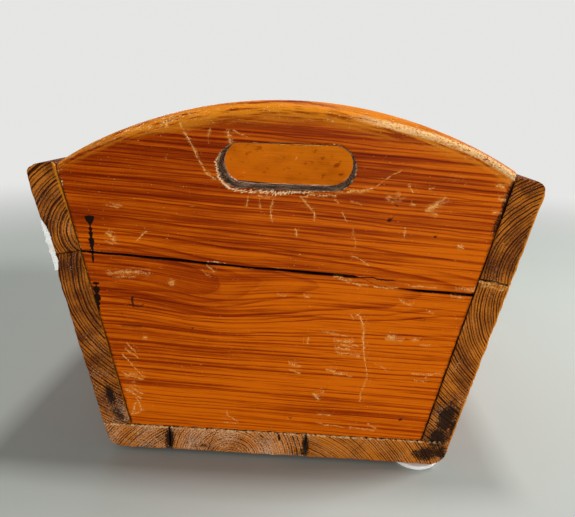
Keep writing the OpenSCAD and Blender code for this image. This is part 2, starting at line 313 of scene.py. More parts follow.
class BoxSizes(bpy.types.PropertyGroup):
    """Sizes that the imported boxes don't give, and how worn the box is."""

    side_lean: bpy.props.FloatProperty(
        name="Side lean", description="Lean of each side from upright",
        default=math.radians(11.2), subtype="ANGLE", unit="ROTATION")
    side_height: bpy.props.FloatProperty(
        name="Side height", description="Height of the sides above the floor, at their inner faces",
        default=0.207, unit="LENGTH")
    arch_rise: bpy.props.FloatProperty(
        name="Arch rise", description="Rise of the arch above the tops of the sides",
        default=0.044, unit="LENGTH")
    arch_round: bpy.props.FloatProperty(
        name="Arch round-over", description="Radius on both edges of the arch",
        default=0.011, unit="LENGTH")
    seam_right: bpy.props.FloatProperty(
        name="End joint, right", description="Height of the end's joint above the floor, at the right side",
        default=0.1225, unit="LENGTH")
    seam_step: bpy.props.FloatProperty(
        name="Joint step", description="How far the end's joint steps down where its tongue has split",
        default=0.0052, unit="LENGTH")
    seam_gap: bpy.props.FloatProperty(
        name="Joint gap", description="Widest opening of the joint between the end boards",
        default=0.0015, unit="LENGTH")
    hole_length: bpy.props.FloatProperty(
        name="Hand hole length", description="Length of the hand hole", default=0.092, unit="LENGTH")
    hole_height: bpy.props.FloatProperty(
        name="Hand hole height", description="Height of the hand hole", default=0.030, unit="LENGTH")
    hole_drop: bpy.props.FloatProperty(
        name="Hand hole drop", description="Centre of the hand hole below the top of the arch",
        default=0.043, unit="LENGTH")
    hole_shift: bpy.props.FloatProperty(
        name="Hand hole shift", description="Centre of the hand hole to the right of the middle",
        default=0.004, unit="LENGTH")
    side_round: bpy.props.FloatProperty(
        name="Side round-over", description="Radius on the upper outer edge of each side",
        default=0.0085, unit="LENGTH")
    floor_round: bpy.props.FloatProperty(
        name="Floor round-over", description="Radius under the long edges of the floor",
        default=0.012, unit="LENGTH")
    hollow_low: bpy.props.FloatProperty(
        name="Hollow, from", description="Lower end of the worn hollow, up the left side's slope",
        default=0.1315, unit="LENGTH")
    hollow_high: bpy.props.FloatProperty(
        name="Hollow, to", description="Upper end of that hollow", default=0.1745, unit="LENGTH")
    hollow_reach: bpy.props.FloatProperty(
        name="Hollow length", description="How far the hollow reaches back from the front", default=0.012,
        unit="LENGTH")
    hollow_depth: bpy.props.FloatProperty(
        name="Hollow depth", description="Depth of the hollow at the front", default=0.0036, unit="LENGTH")
    arris: bpy.props.FloatProperty(
        name="Arris", description="Mean radius that wear has given the boards' sharp edges",
        default=0.0011, unit="LENGTH")


class BoxColours(bpy.types.PropertyGroup):
    """Colours of the box's finishes."""

    face_pale: bpy.props.FloatVectorProperty(
        name="Pale grain", description="Varnished earlywood on the boards' faces",
        default=(0.660, 0.130, 0.0016), subtype="COLOR")
    face_dark: bpy.props.FloatVectorProperty(
        name="Dark grain", description="Varnished latewood on the boards' faces",
        default=(0.165, 0.0120, 0.0003), subtype="COLOR")
    inner_wood: bpy.props.FloatVectorProperty(
        name="Inside", description="Amber wood of the inner faces", default=(0.72, 0.265, 0.008),
        subtype="COLOR")
    # Partly thin varnish on the arch, partly a painted highlight there and along the sides' edges.
    amber_wear_and_highlight: bpy.props.FloatVectorProperty(
        name="Arch", description="Thin, bright varnish on the rounded edge of the arch",
        default=(0.70, 0.235, 0.011), subtype="COLOR")
    torn: bpy.props.FloatVectorProperty(
        name="Torn fibres", description="Pale fibres torn up on the boards' ends",
        default=(0.72, 0.47, 0.29), subtype="COLOR")
    rubbed: bpy.props.FloatVectorProperty(
        name="Rubbed places", description="Yellow wood where the varnish is rubbed thin",
        default=(0.80, 0.31, 0.026), subtype="COLOR")
    splinter: bpy.props.FloatVectorProperty(
        name="Splinters", description="Pale splintered wood round the rims of the hand holes",
        default=(0.88, 0.62, 0.32), subtype="COLOR")
    scratch: bpy.props.FloatVectorProperty(
        name="Scratches", description="Pale wood in scratches and rubbed places",
        default=(0.90, 0.60, 0.27), subtype="COLOR")
    bare_wood: bpy.props.FloatVectorProperty(
        name="Bare wood", description="Wood where wear has gone through the varnish",
        default=(0.78, 0.46, 0.20), subtype="COLOR")
    end_pale: bpy.props.FloatVectorProperty(
        name="Pale end grain", description="Earlywood on the boards' ends",
        default=(0.600, 0.180, 0.014), subtype="COLOR")
    end_dark: bpy.props.FloatVectorProperty(
        name="Dark end grain", description="Latewood on the boards' ends",
        default=(0.042, 0.009, 0.002), subtype="COLOR")
    hole_grey: bpy.props.FloatVectorProperty(
        name="Hand hole wall", description="Raw wood inside the hand holes",
        default=(0.41, 0.245, 0.150), subtype="COLOR")
    hole_dark: bpy.props.FloatVectorProperty(
        name="Hand hole dirt", description="Dirt between the fibres inside the hand holes",
        default=(0.070, 0.040, 0.023), subtype="COLOR")
    # Also the black of the painted shade in the gaps and joints, their cracks and the hand hole's upper lip.
    stain_and_shade: bpy.props.FloatVectorProperty(
        name="Iron stain", description="Black stains around the nails and under the drips",
        default=(0.012, 0.006, 0.004), subtype="COLOR")
    iron: bpy.props.FloatVectorProperty(
        name="Nails", description="Rusted iron of the cut nails", default=(0.050, 0.026, 0.016),
        subtype="COLOR")
    felt: bpy.props.FloatVectorProperty(
        name="Felt", description="Wool felt of the pads", default=(0.95, 0.94, 0.92), subtype="COLOR")
    paper: bpy.props.FloatVectorProperty(
        name="Paper", description="Paper of the label", default=(0.92, 0.92, 0.90), subtype="COLOR")


class StageLook(bpy.types.PropertyGroup):
    """The floor, the light and the camera."""

    floor_colour: bpy.props.FloatVectorProperty(
        name="Floor", description="Colour of the floor around the box", default=(0.349, 0.374, 0.348),
        subtype="COLOR")
    far_colour: bpy.props.FloatVectorProperty(
        name="Background", description="Colour of the background", default=(0.79, 0.79, 0.775),
        subtype="COLOR")
    sky_strength: bpy.props.FloatProperty(
        name="Sky", description="Strength of the light from all round", default=0.24)
    right_power: bpy.props.FloatProperty(
        name="Right light", description="Power of the light from the upper right, in watts", default=18.0)
    top_power: bpy.props.FloatProperty(
        name="Top light", description="Power of the light from above, in watts", default=11.0)
    front_power: bpy.props.FloatProperty(
        name="Front light", description="Power of the low light on the front, in watts", default=13.5)
    back_power: bpy.props.FloatProperty(
        name="Back light", description="Power of the low light on the back, in watts", default=10.0)
    left_power: bpy.props.FloatProperty(
        name="Left light", description="Power of the low light on the left, in watts", default=5.0)
    camera_at: bpy.props.FloatVectorProperty(
        name="Camera place", description="Where the camera stands", default=(0.022, -0.547, 0.273),
        subtype="TRANSLATION", unit="LENGTH")
    camera_pitch: bpy.props.FloatProperty(
        name="Camera pitch", description="How far the camera looks down", default=math.radians(16.95),
        subtype="ANGLE", unit="ROTATION")
    camera_yaw: bpy.props.FloatProperty(
        name="Camera yaw", description="How far the camera looks to the right",
        default=math.radians(-2.61), subtype="ANGLE", unit="ROTATION")
    camera_roll: bpy.props.FloatProperty(
        name="Camera roll", description="How far the camera is tipped", default=math.radians(1.67),
        subtype="ANGLE", unit="ROTATION")
    camera_lens: bpy.props.FloatProperty(
        name="Lens", description="Focal length in millimetres on a 36 mm wide frame", default=31.93)


# ---- Meshes ----

def waves(points, size, seed, count=14):
    """Smooth noise around 0 with a spread of about 1 at each point: the sum of count cosines, times 1.4
    over the root of count. Their wavelengths lie around size, and their directions and phases come from
    the seed."""
    rng = np.random.default_rng(seed)
    directions = rng.normal(size=(count, 3))
    directions /= np.linalg.norm(directions, axis=1, keepdims=True)
    numbers = 2 * math.pi / (size * rng.uniform(0.6, 1.6, (count, 1)))
    phases = rng.uniform(0, 2 * math.pi, count)
    return np.cos(points @ (directions * numbers).T + phases).sum(axis=1) * (1.4 / math.sqrt(count))


def smooth(lo, hi, value):
    """0 below lo, 1 above hi, and a smooth S between them: 3t² - 2t³."""
    t = np.clip((value - lo) / (hi - lo), 0, 1)
    return t * t * (3 - 2 * t)


def add_object(name, data):
    """A new object with its data, linked to the scene."""
    piece = bpy.data.objects.new(name, data)
    bpy.context.scene.collection.objects.link(piece)
    return piece


def build_mesh(name, points, quads, **attributes):
    """A mesh object from an (n, 3) array of points and an (m, 4) array of quads, shaded smooth, with one
    float attribute for each array of n numbers."""
    mesh = bpy.data.meshes.new(name)
    mesh.vertices.add(len(points))
    mesh.vertices.foreach_set("co", np.ascontiguousarray(points, dtype=np.float32).ravel())
    mesh.loops.add(quads.size)
    mesh.loops.foreach_set("vertex_index", quads.astype(np.int32).ravel())
    mesh.polygons.add(len(quads))
    mesh.polygons.foreach_set("loop_start", np.arange(len(quads), dtype=np.int32) * 4)
    mesh.update(calc_edges=True)
    mesh.validate()
    for key, numbers in attributes.items():
        layer = mesh.attributes.new(key, "FLOAT", "POINT")
        layer.data.foreach_set("value", np.ascontiguousarray(numbers, dtype=np.float32))
    mesh.shade_smooth()
    return add_object(name, mesh)


def dress(piece, node, material):
    """Gives a piece its material, and sets it in the place of one CAD node."""
    piece.data.materials.append(material)
    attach(piece, "root")
    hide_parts(node)
    return piece


def spaced(half, step, edge_lines):
    """Coordinates from -half to half about step apart, with closer ones near both ends. edge_lines lists
    the distances of those from the end, in millimetres."""
    near = np.array(edge_lines) * MM
    reach = half - near[-1]
    middle = np.linspace(-reach, reach, max(2, int(round(2 * reach / step))) + 1)
    return np.concatenate([[-half], near[:-1] - half, middle, (half - near[:-1])[::-1], [half]])


def shell(us, vs, ws):
    """The outside of a box-shaped lattice over three rising coordinate arrays: its points, and its quads
    with their normals outward. Neighbouring faces of the box share the points of their edge."""
    sizes = (len(us), len(vs), len(ws))
    number = np.arange(np.prod(sizes)).reshape(sizes)
    sheets = []
    for axis in range(3):
        for end in (0, -1):
            sheet = np.take(number, end, axis=axis)
            quads = np.stack([sheet[:-1, :-1], sheet[1:, :-1], sheet[1:, 1:], sheet[:-1, 1:]], -1)
            outward = (axis == 1) == (end == 0)
            sheets.append(quads.reshape(-1, 4)[:, ::1 if outward else -1])
    used, quads = np.unique(np.concatenate(sheets), return_inverse=True)
    u, v, w = np.unravel_index(used, sizes)
    return np.stack([us[u], vs[v], ws[w]], -1), quads.reshape(-1, 4)


def round_off(p, q, radius):
    """Rounds the corner between two faces, where p and q are a point's depths under them. A point less
    than radius deep under both moves from its square about the arc's centre to the circle that touches
    that square. Returns the new depths."""
    deep_p = radius - p
    deep_q = radius - q
    inside = (deep_p > 0) & (deep_q > 0)
    longest = np.maximum(deep_p, deep_q)
    shrink = np.where(inside, longest / np.maximum(np.hypot(deep_p, deep_q), 1e-12), 1.0)
    return radius - deep_p * shrink, radius - deep_q * shrink


class Board:
    """A board as a lattice box with worn edges, before it is bent to its place. Its own axes are wide
    across, long along its length and thick through it, all measured from its middle."""

    def __init__(self, width, length, thickness, steps, seed, edge_lines=EDGE_LINES):
        self.half = np.array([width, length, thickness]) / 2
        grids = [spaced(half, step, edge_lines) for half, step in zip(self.half, steps)]
        self.points, self.quads = shell(*grids)
        self.seed = seed
        self.arris = np.zeros(len(self.points))

    def note_arris(self, p, q, reach):
        """Marks the points close to an edge, at depths p and q under its two faces."""
        self.arris = np.maximum(self.arris, np.exp(-np.hypot(p, q) / reach))

    def round_section(self, radii, split=0.0):
        """Rounds the four long edges. radii gives the radius at (-wide, -thick), (-wide, +thick),
        (+wide, -thick) and (+wide, +thick), and split is the depth level that parts the lower ones from
        the upper ones."""
        wide, thick = self.points[:, 0], self.points[:, 2]
        side = np.where(wide < 0, -1, 1)
        level = np.where(thick < split, -1, 1)
        radius = np.asarray(radii)[(side > 0) * 2 + (level > 0)]
        p, q = round_off(self.half[0] - side * wide, self.half[2] - level * thick, radius)
        self.points[:, 0] = side * (self.half[0] - p)
        self.points[:, 2] = level * (self.half[2] - q)
        self.note_arris(p, q, np.maximum(radius, 1.2 * MM))

    def wear_ends(self, radius):
        """Rounds the edges of both ends by the radius at each point: the end's outline draws in as it
        nears the end."""
        wide, along, thick = self.points.T
        depth_end = self.half[1] - np.abs(along)
        depth_side = np.minimum(self.half[0] - np.abs(wide), self.half[2] - np.abs(thick))
        depth_side = np.maximum(depth_side, 0)
        new_end, new_side = round_off(depth_end, depth_side, radius)
        draw = new_side - depth_side
        self.points[:, 0] = wide * (1 - draw / self.half[0])
        self.points[:, 1] = np.sign(along) * (self.half[1] - new_end)
        self.points[:, 2] = thick * (1 - draw / self.half[2])
        self.note_arris(new_end, new_side, np.maximum(radius, 1.2 * MM))

    def facing(self, axis, sign):
        """How close each point is to one of the board's six faces, from 0 to 1."""
        return smooth(0.7 * MM, 0.1 * MM, self.half[axis] - sign * self.points[:, axis])

    def ragged(self, mean, spread, size=9 * MM):
        """A radius that changes along the edges: its mean, plus long swells and sharp small nicks."""
        swell = waves(self.points, size, self.seed)
        nick = np.clip(waves(self.points, size / 4, self.seed + 1) - 0.9, 0, None)
        return np.clip(mean + spread * swell + 3 * spread * nick, 0.25 * MM, 2.7 * MM)


class Carcass:
    """The box's geometry, worked out from the frame and the sizes."""

    def __init__(self, sizes):
        self.sizes = sizes
        self.lean = math.tan(sizes.side_lean)
        self.side_w = sizes.side_height / math.cos(sizes.side_lean)
        self.side_t = (FLOOR_HALF - INSIDE_HALF) * math.cos(sizes.side_lean)
        half = INSIDE_HALF + sizes.side_height * self.lean
        self.arch_r = (half ** 2 + sizes.arch_rise ** 2) / (2 * sizes.arch_rise)
        self.arch_z = END_TOP - self.arch_r
        self.hole_x = sizes.hole_shift
        self.hole_z = END_TOP - sizes.hole_drop
        self.seam_right = FLOOR_TOP + sizes.seam_right
        self.left_x = -self.end_edge(SEAM_LEFT)
        self.right_x = self.end_edge(self.seam_right)

    def end_edge(self, z):
        """Half the width of an end at a height."""
        return INSIDE_HALF + (z - FLOOR_TOP) * self.lean - SIDE_GAP / math.cos(self.sizes.side_lean)

    def seam(self, x):
        """Height of the middle of an end's joint: it falls evenly to the right, and steps down along a
        smooth S where its tongue has split."""
        step = self.sizes.seam_step
        along = (x - self.left_x) / (self.right_x - self.left_x)
        line = SEAM_LEFT + (self.seam_right + step - SEAM_LEFT) * along
        wobble = 0.25 * MM * np.sin(x / (21 * MM)) + 0.12 * MM * np.sin(x / (6.1 * MM) + 1)
        return line - step * smooth(58 * MM, 73 * MM, x) + wobble * smooth(0, 0.1, 0.5 - abs(along - 0.5))

    def seam_gap(self, x):
        """Opening of that joint, which is tight where the tongue lies."""
        return self.sizes.seam_gap * (1 - 0.95 * self.tongue(x)) * (0.9 + 0.2 * np.sin(x / (17 * MM)))

    def tongue(self, x):
        """1 along the joint where the split tongue closes it, and 0 away from there."""
        return smooth(53 * MM, 59 * MM, x) * smooth(102 * MM, 80 * MM, x)

    def hollow(self, up, along):
        """Depth of the worn hollow in the left side's front edge: a smooth dip up the slope, times an even
        fall backward along the box."""
        sizes = self.sizes
        dip = smooth(sizes.hollow_low - 3 * MM, sizes.hollow_low + 10 * MM, up)
        dip = dip * smooth(sizes.hollow_high + 3 * MM, sizes.hollow_high - 14 * MM, up)
        return sizes.hollow_depth * dip * np.clip(1 - (along - FRONT) / sizes.hollow_reach, 0, 1)


class Marks:
    """Scratches, stains and rubbed places, worked out at a mesh's points. A stroke is kept as the signed
    distance from its middle line in units of its half width, so it stays sharp between the points. Each
    point takes part in three layers of strokes, so that strokes may cross."""

    LAYERS = "abc"
    FAR = 9.0                # the distance that stands for no stroke at all, in half widths

    def __init__(self, count):
        self.line = np.full((len(self.LAYERS), count), self.FAR)
        self.tone = np.zeros((len(self.LAYERS), count))
        self.soot = np.zeros(count)
        self.rub = np.zeros(count)

    def draw(self, u, v, where, strokes):
        """Adds strokes to a face with coordinates u and v in millimetres. Each stroke is (tone,
        half width, path), and its tone runs from -1 for black to 1 for pale."""
        place = np.stack([u, v, 0 * u], -1)
        u = u + 0.35 * waves(place, 9.0, 91)
        v = v + 0.35 * waves(place, 9.0, 92)
        for tone, half_width, path in strokes:
            path = np.array(path, dtype=float)
            (u0, v0), (u1, v1) = path.min(axis=0) - 7, path.max(axis=0) + 7
            index = np.flatnonzero(where & (u > u0) & (u < u1) & (v > v0) & (v < v1))
            best = np.full(len(index), 1e9)
            line = np.full(len(index), self.FAR)
            reach = np.zeros(len(index))
            for start, end in zip(path[:-1], path[1:]):
                step = (end - start) / np.hypot(*(end - start))
                ahead = (u[index] - start[0]) * step[0] + (v[index] - start[1]) * step[1]
                aside = (u[index] - start[0]) * step[1] - (v[index] - start[1]) * step[0]
                past = np.maximum(np.maximum(-ahead, ahead - np.hypot(*(end - start))), 0)
                away = np.hypot(aside, past)
                line = np.where(away < best, aside / half_width, line)
                near = smooth(3.4 + half_width, 1.6 + half_width, np.abs(aside)) * smooth(1.6, 0.2, past)
                reach = np.where(away < best, near, reach)
                best = np.minimum(away, best)
            taken = [np.abs(self.tone[k, index]) @ reach for k in range(len(self.LAYERS))]
            layer = int(np.argmin(taken))
            wins = reach > np.abs(self.tone[layer, index])
            self.line[layer, index[wins]] = np.clip(line[wins], -self.FAR, self.FAR)
            self.tone[layer, index[wins]] = tone * reach[wins]

    def haze(self, u, v, where, spots):
        """Adds soft spots, each (strength, u, v, radius along, radius across, turn in degrees). A strength
        below nought is a dark spot, soot in most places and painted shade at the floor boards' joints, and
        one above it a rubbed pale place."""
        for strength, u0, v0, long, wide, turn in spots:
            cosine, sine = math.cos(math.radians(turn)), math.sin(math.radians(turn))
            along = ((u - u0) * cosine + (v - v0) * sine) / long
            across = ((v - v0) * cosine - (u - u0) * sine) / wide
            spot = np.exp(-(along ** 2 + across ** 2)) * abs(strength) * where
            field = self.rub if strength > 0 else self.soot
            np.maximum(field, spot, out=field)

    def attributes(self):
        """The fields by their names on the mesh."""
        named = {"soot": self.soot, "rub": self.rub}
        for number, letter in enumerate(self.LAYERS):
            named["line_" + letter] = self.line[number]
            named["tone_" + letter] = self.tone[number]
        return named


def stray_strokes(seed, count, u_range, v_range):
    """Scratches scattered by a seed: short, mostly pale, and at every angle."""
    rng = np.random.default_rng(seed)
    strokes = []
    for _ in range(count):
        u, v = rng.uniform(*u_range), rng.uniform(*v_range)
        turn = rng.uniform(0, math.pi)
        length = rng.uniform(2, 5) if rng.random() < 0.6 else rng.uniform(8, 26)
        bend = rng.normal(0, 0.12)
        path = [(u, v)]
        for _ in range(3):
            turn += bend
            u += math.cos(turn) * length / 3
            v += math.sin(turn) * length / 3
            path.append((u, v))
        tone = rng.uniform(0.35, 1.0) * (1 if rng.random() < 0.8 else -1)
        strokes.append((tone, rng.uniform(0.25, 0.6), path))
    return strokes


def swap_ends(points, quads, rear):
    """For the rear end, the front's shape mirrored in the plane Y 0, with its faces turned back out."""
    if rear:
        return points * (1, -1, 1), quads[:, ::-1]
    return points, quads


def lower_end_board(carcass, end, material):
    """The plain board of an end: a lattice box whose wide faces are ruled between the floor and the
    joint, so that its sides follow the lean of the box."""
    rear = end == "rear"
    height = SEAM_LEFT - FLOOR_TOP
    seed = 21 if rear else 11
    board = Board(2 * INSIDE_HALF, END_T, height, (1.6 * MM, 3 * MM, 1.6 * MM), seed)
    board.round_section((0.5 * MM,) * 4)
    sharp = 1 - 0.8 * carcass.tongue(board.points[:, 0]) * (board.points[:, 2] > 0)
    board.wear_ends(np.maximum(board.ragged(carcass.sizes.arris, 0.35 * MM) * sharp, 0.2 * MM))
    s = board.points[:, 0] / board.half[0]
    t = board.points[:, 2] / board.half[2] * 0.5 + 0.5
    top_x = (carcass.left_x * (1 - s) + carcass.right_x * (1 + s)) / 2
    # The faces along the sides and the top face in the joint are marked for painted shade, less where the
    # split tongue closes the joint.
    joint = board.facing(2, 1) * (1 - 0.85 * carcass.tongue(top_x))
    gap = np.maximum(np.maximum(board.facing(0, 1), board.facing(0, -1)), joint)
    top_z = carcass.seam(top_x) - carcass.seam_gap(top_x) / 2
    x = s * carcass.end_edge(FLOOR_TOP) * (1 - t) + top_x * t
    z = (FLOOR_TOP + 0.5 * MM) * (1 - t) + top_z * t
    points = np.stack([x, FRONT + END_T / 2 + board.points[:, 1], z], -1)
    points[:, 1] -= np.sign(board.points[:, 1]) * hand_planing(points, seed)
    marks = end_marks(points, rear)
    points, quads = swap_ends(points, board.quads, rear)
    piece = build_mesh(end + "_lower_board", points, quads, arris=board.arris, gap=gap,
                       **marks.attributes())
    return dress(piece, end + "_end_lower", material)


def end_marks(points, rear):
    """Marks of an end board, from its points as a front board. The front end has its own known marks, and
    the rear end and both inner faces have stray ones."""
    marks = Marks(len(points))
    x, y, z = points.T / MM
    outer = y < FRONT / MM + 3
    inner = y > (FRONT + END_T) / MM - 3
    if rear:
        marks.draw(x, z, outer, stray_strokes(501, 90, (-150, 145), (30, 265)))
        marks.haze(x, z, outer, REAR_SPOTS)
    else:
        marks.draw(x, z, outer, FRONT_STROKES)
        marks.haze(x, z, outer, FRONT_SPOTS)
    marks.draw(x, z, inner, stray_strokes(502 + rear, 45, (-150, 145), (30, 265)))
    return marks


def hand_planing(points, seed):
    """How far the plane has dipped into a face: long shallow hollows along the grain, never proud."""
    stretched = points * (0.35, 1, 1)
    return 0.10 * MM * np.clip(1 + waves(stretched, 60 * MM, seed + 5), 0, 2.2)


def upper_end_board(carcass, end, material):
    """The arched board of an end. Every line runs out from the hand hole's centre at one angle, down the
    front face, round the outer edge, back over the rear face and through the hole, so the board is a
    closed ring of such lines."""
    rear = end == "rear"
    seed = 41 if rear else 31
    line_count = 512
    levels = np.array([0, 0.12, 0.4, 0.9, 1.7, 2.8, 4.2, 6, 8.2, 10.8]) * MM
    depths = np.concatenate([levels, END_T - levels[::-1]])
    angles = even_angles(carcass, line_count)
    outer = [outer_reach(carcass, angles, depth, seed) for depth in depths]
    inner = [hole_reach(carcass, angles, depth, seed, rear) for depth in depths]
    reach, depth = ring_rows(inner, outer, depths)
    x = carcass.hole_x + reach * np.cos(angles)
    z = carcass.hole_z + reach * np.sin(angles)
    points = np.stack([x, FRONT + depth, z], -1).reshape(-1, 3)
    flat_depth = depth.ravel()
    in_face = np.minimum(flat_depth, END_T - flat_depth) < 0.05 * MM
    to_rim = np.minimum(reach - np.minimum(inner[0], inner[-1]), np.minimum(outer[0], outer[-1]) - reach)
    dip = hand_planing(points, seed) * in_face * smooth(0, 6 * MM, to_rim.ravel())
    points[:, 1] += np.where(flat_depth < END_T / 2, dip, -dip)
    fields = hole_fields(angles, reach, depth, inner[0])
    fields["wall"] = smooth(1.1 * MM, 0.4 * MM, reach - hole_reach(carcass, angles, END_T / 2, seed, rear))
    outer_rim = np.hypot(outer[0] + 0.4 * MM - reach, np.minimum(depth, END_T - depth))
    fields["arris"] = np.maximum(fields["arris"], np.exp(-outer_rim / (1.6 * MM)))
    fields = {name: field.ravel() for name, field in fields.items()}
    # The faces inside the gap along the sides and the joint are marked for painted shade.
    fields["gap"] = smooth(0.7 * MM, 0.1 * MM, outer[len(outer) // 2] - reach).ravel()
    fields["gap"] *= gap_share(carcass, points)
    marks = end_marks(points, rear)
    points, quads = swap_ends(points, ring_quads(*reach.shape), rear)
    piece = build_mesh(end + "_arched_board", points, quads, **fields, **marks.attributes())
    return dress(piece, end + "_end_upper", material)


def ring_rows(inner, outer, depths):
    """The arched board's rows of points, from the hole's front rim round to it again. inner and outer are
    the distances of the hole's wall and the outer edge from the hole's centre at each depth. Returns each
    point's distance from that centre, and its depth behind the front face."""
    front_count, rear_count = 96, 40
    rows = []
    for s in np.arange(front_count) / front_count:
        t = 0.35 * s ** 1.6 + 0.65 * s
        rows.append((inner[0] * (1 - t) + outer[0] * t, 0.0))
    rows += list(zip(outer, depths))
    for number in range(1, rear_count):
        t = number / rear_count
        rows.append((outer[-1] * (1 - t) + inner[-1] * t, END_T))
    rows += list(zip(inner[::-1], depths[::-1]))[:-1]
    reach = np.array([row[0] for row in rows])
    depth = np.array([np.full(reach.shape[1], row[1]) for row in rows])
    return reach, depth


def ring_quads(row_count, column_count):
    """Quads that join each point of a table to the next row and the next column. The last row joins the
    first, and the last column the first."""
    number = np.arange(row_count * column_count).reshape(row_count, column_count)
    next_row = np.roll(number, -1, axis=0)
    next_column = np.roll(number, -1, axis=1)
    next_both = np.roll(next_row, -1, axis=1)
    return np.stack([number, next_row, next_both, next_column], -1).reshape(-1, 4)


def hole_fields(angles, reach, depth, rim):
    """Attributes round the hand hole, whose front rim lies at the distance rim: the worn arris, the
    splinters, which are longest at the lower left, and painted shade along the lip at the upper right."""
    off_rim = np.abs(reach - rim)
    arris = np.exp(-np.hypot(off_rim, np.minimum(depth, END_T - depth)) / (1.4 * MM))
    low_rim = smooth(-0.35, 0.75, -np.sin(angles) * 0.95 - np.cos(angles) * 0.35)
    fray_reach = (1.7 - 0.8 * smooth(-0.3, 0.6, np.cos(angles))) * MM
    fray = np.exp(-off_rim / fray_reach) * (depth < 2.2 * MM) * (0.2 + 0.8 * low_rim)
    # Painted shade along the upper right lip of the rim.
    high_right = smooth(0.1, 0.6, np.sin(angles)) * (0.3 + 0.7 * smooth(0.1, 0.6, np.cos(angles)))
    lip = np.exp(-off_rim / (0.7 * MM)) * (depth < 1.0 * MM) * high_right
    return {"arris": arris, "fray": fray, "lip": lip}


def gap_share(carcass, points):
    """How much painted shade the gap along the arched board's edge takes: none on the arch, all of it along
    the sides and the joint, and little along the split tongue."""
    below_arch = carcass.arch_r - np.hypot(points[:, 0], points[:, 2] - carcass.arch_z)
    on_joint = smooth(4 * MM, 2 * MM, points[:, 2] - carcass.seam(points[:, 0]))
    return smooth(3 * MM, 6 * MM, below_arch) * (1 - 0.85 * on_joint * carcass.tongue(points[:, 0]))


def even_angles(carcass, count):
    """Angles about the hand hole's centre, spaced so that their lines meet the outer edge at even steps,
    with one exactly at each corner of the board."""
    top_z = FLOOR_TOP + carcass.sizes.side_height
    top_x = carcass.end_edge(top_z)
    corners = ((carcass.left_x, SEAM_LEFT), (carcass.right_x, carcass.seam_right),
               (top_x, top_z), (-top_x, top_z))
    fine = np.linspace(-math.pi, math.pi, 8001)
    reach = outer_reach(carcass, fine, END_T / 2, 0)
    steps = np.hypot(np.diff(reach * np.cos(fine)), np.diff(reach * np.sin(fine)))
    length = np.concatenate([[0], np.cumsum(steps)])
    angles = np.interp(np.linspace(0, length[-1], count + 1)[:-1], length, fine)
    for x, z in corners:
        corner = math.atan2(z - carcass.hole_z, x - carcass.hole_x)
        angles[np.argmin(np.abs(angles - corner))] = corner
    return angles


def outer_reach(carcass, angles, depth, seed):
    """Distance from the hand hole's centre to the board's edge at each angle, at a depth from the front
    face: the nearest of the arch, the two leaning sides and the joint, each drawn in by its rounding."""
    sizes = carcass.sizes
    to_face = min(depth, END_T - depth)
    cosine, sine = np.cos(angles), np.sin(angles)
    x0, z0 = carcass.hole_x, carcass.hole_z
    around = np.stack([cosine, sine, np.zeros(len(angles))], -1)
    ragged = 1 + 0.22 * waves(around, 0.35, seed + 2)
    drop = z0 - carcass.arch_z
    full = -drop * sine + np.sqrt(carcass.arch_r ** 2 - (drop * cosine) ** 2)
    taper = 1 - 0.62 * smooth(70 * MM, 140 * MM, np.abs(x0 + full * cosine))
    arch_in = round_inset(sizes.arch_round * taper * (0.93 + 0.07 * ragged), to_face)
    edge_in = round_inset(sizes.arris * ragged, to_face)
    radius = carcass.arch_r - arch_in
    reach = -drop * sine + np.sqrt(radius ** 2 - (drop * cosine) ** 2)
    for side in (1, -1):
        gap = INSIDE_HALF + (z0 - FLOOR_TOP) * carcass.lean - side * x0
        gap = gap - (SIDE_GAP + edge_in) / math.cos(sizes.side_lean)
        away = side * cosine - carcass.lean * sine
        reach = np.where(away > 1e-6, np.minimum(reach, gap / np.where(away > 1e-6, away, 1)), reach)
    down = sine < -1e-3
    seam_reach = np.full(len(angles), 0.06)
    for _ in range(12):
        x = x0 + seam_reach * cosine
        floor_z = carcass.seam(x) + carcass.seam_gap(x) / 2 + edge_in * (1 - 0.8 * carcass.tongue(x))
        seam_reach = np.clip(np.where(down, (floor_z - z0) / np.where(down, sine, 1), 9), 0, 0.6)
    return np.where(down, np.minimum(reach, seam_reach), reach)


def round_inset(radius, to_face):
    """How far a quarter-round of radius r draws in at a distance d below the face:
    r - sqrt(r² - (r - d)²)."""
    rest = np.clip(radius - to_face, 0, None)
    return radius - np.sqrt(np.clip(radius ** 2 - rest ** 2, 0, None))


def hole_reach(carcass, angles, depth, seed, rear):
    """Distance from the hand hole's centre to its wall at each angle: a slot with round ends, widened
    towards both faces by a worn, splintered rim."""
    sizes = carcass.sizes
    to_face = min(depth, END_T - depth)
    cosine, sine = np.cos(angles), np.sin(angles)
    around = np.stack([cosine, sine, np.zeros(len(angles))], -1)
    lower_left = smooth(0.0, 1.0, -sine * 0.9 - cosine * 0.45)
    worn = 0.6 + 0.3 * lower_left + 0.2 * waves(around, 0.5, seed + 3)
    worn = worn + 0.15 * waves(around, 0.06, seed + 4)
    splinter = waves(around, 0.022, seed + 6) * (0.15 + 0.55 * lower_left)
    front_rim = depth < END_T / 2 and not rear
    worn = worn + (1.6 * lower_left + splinter if front_rim else 0)
    widen = round_inset(np.clip(worn, 0.3, None) * MM, to_face)
    fibre = 0.12 * MM * waves(around * (1, 1, 0) + (0, 0, depth / (18 * MM)), 0.05, seed + 7)
    end_r = sizes.hole_height / 2 + widen + fibre * smooth(0, 1.5 * MM, to_face)
    straight = (sizes.hole_length - sizes.hole_height) / 2
    if rear:
        end_r = end_r - 1.2 * MM * smooth(0.2, 0.8, -sine)
    flat = end_r / np.maximum(np.abs(sine), 1e-6)
    across = np.abs(cosine)
    rounded = straight * across + np.sqrt(np.maximum(end_r ** 2 - (straight * sine) ** 2, 0))
    return np.where(flat * across <= straight, flat, rounded)


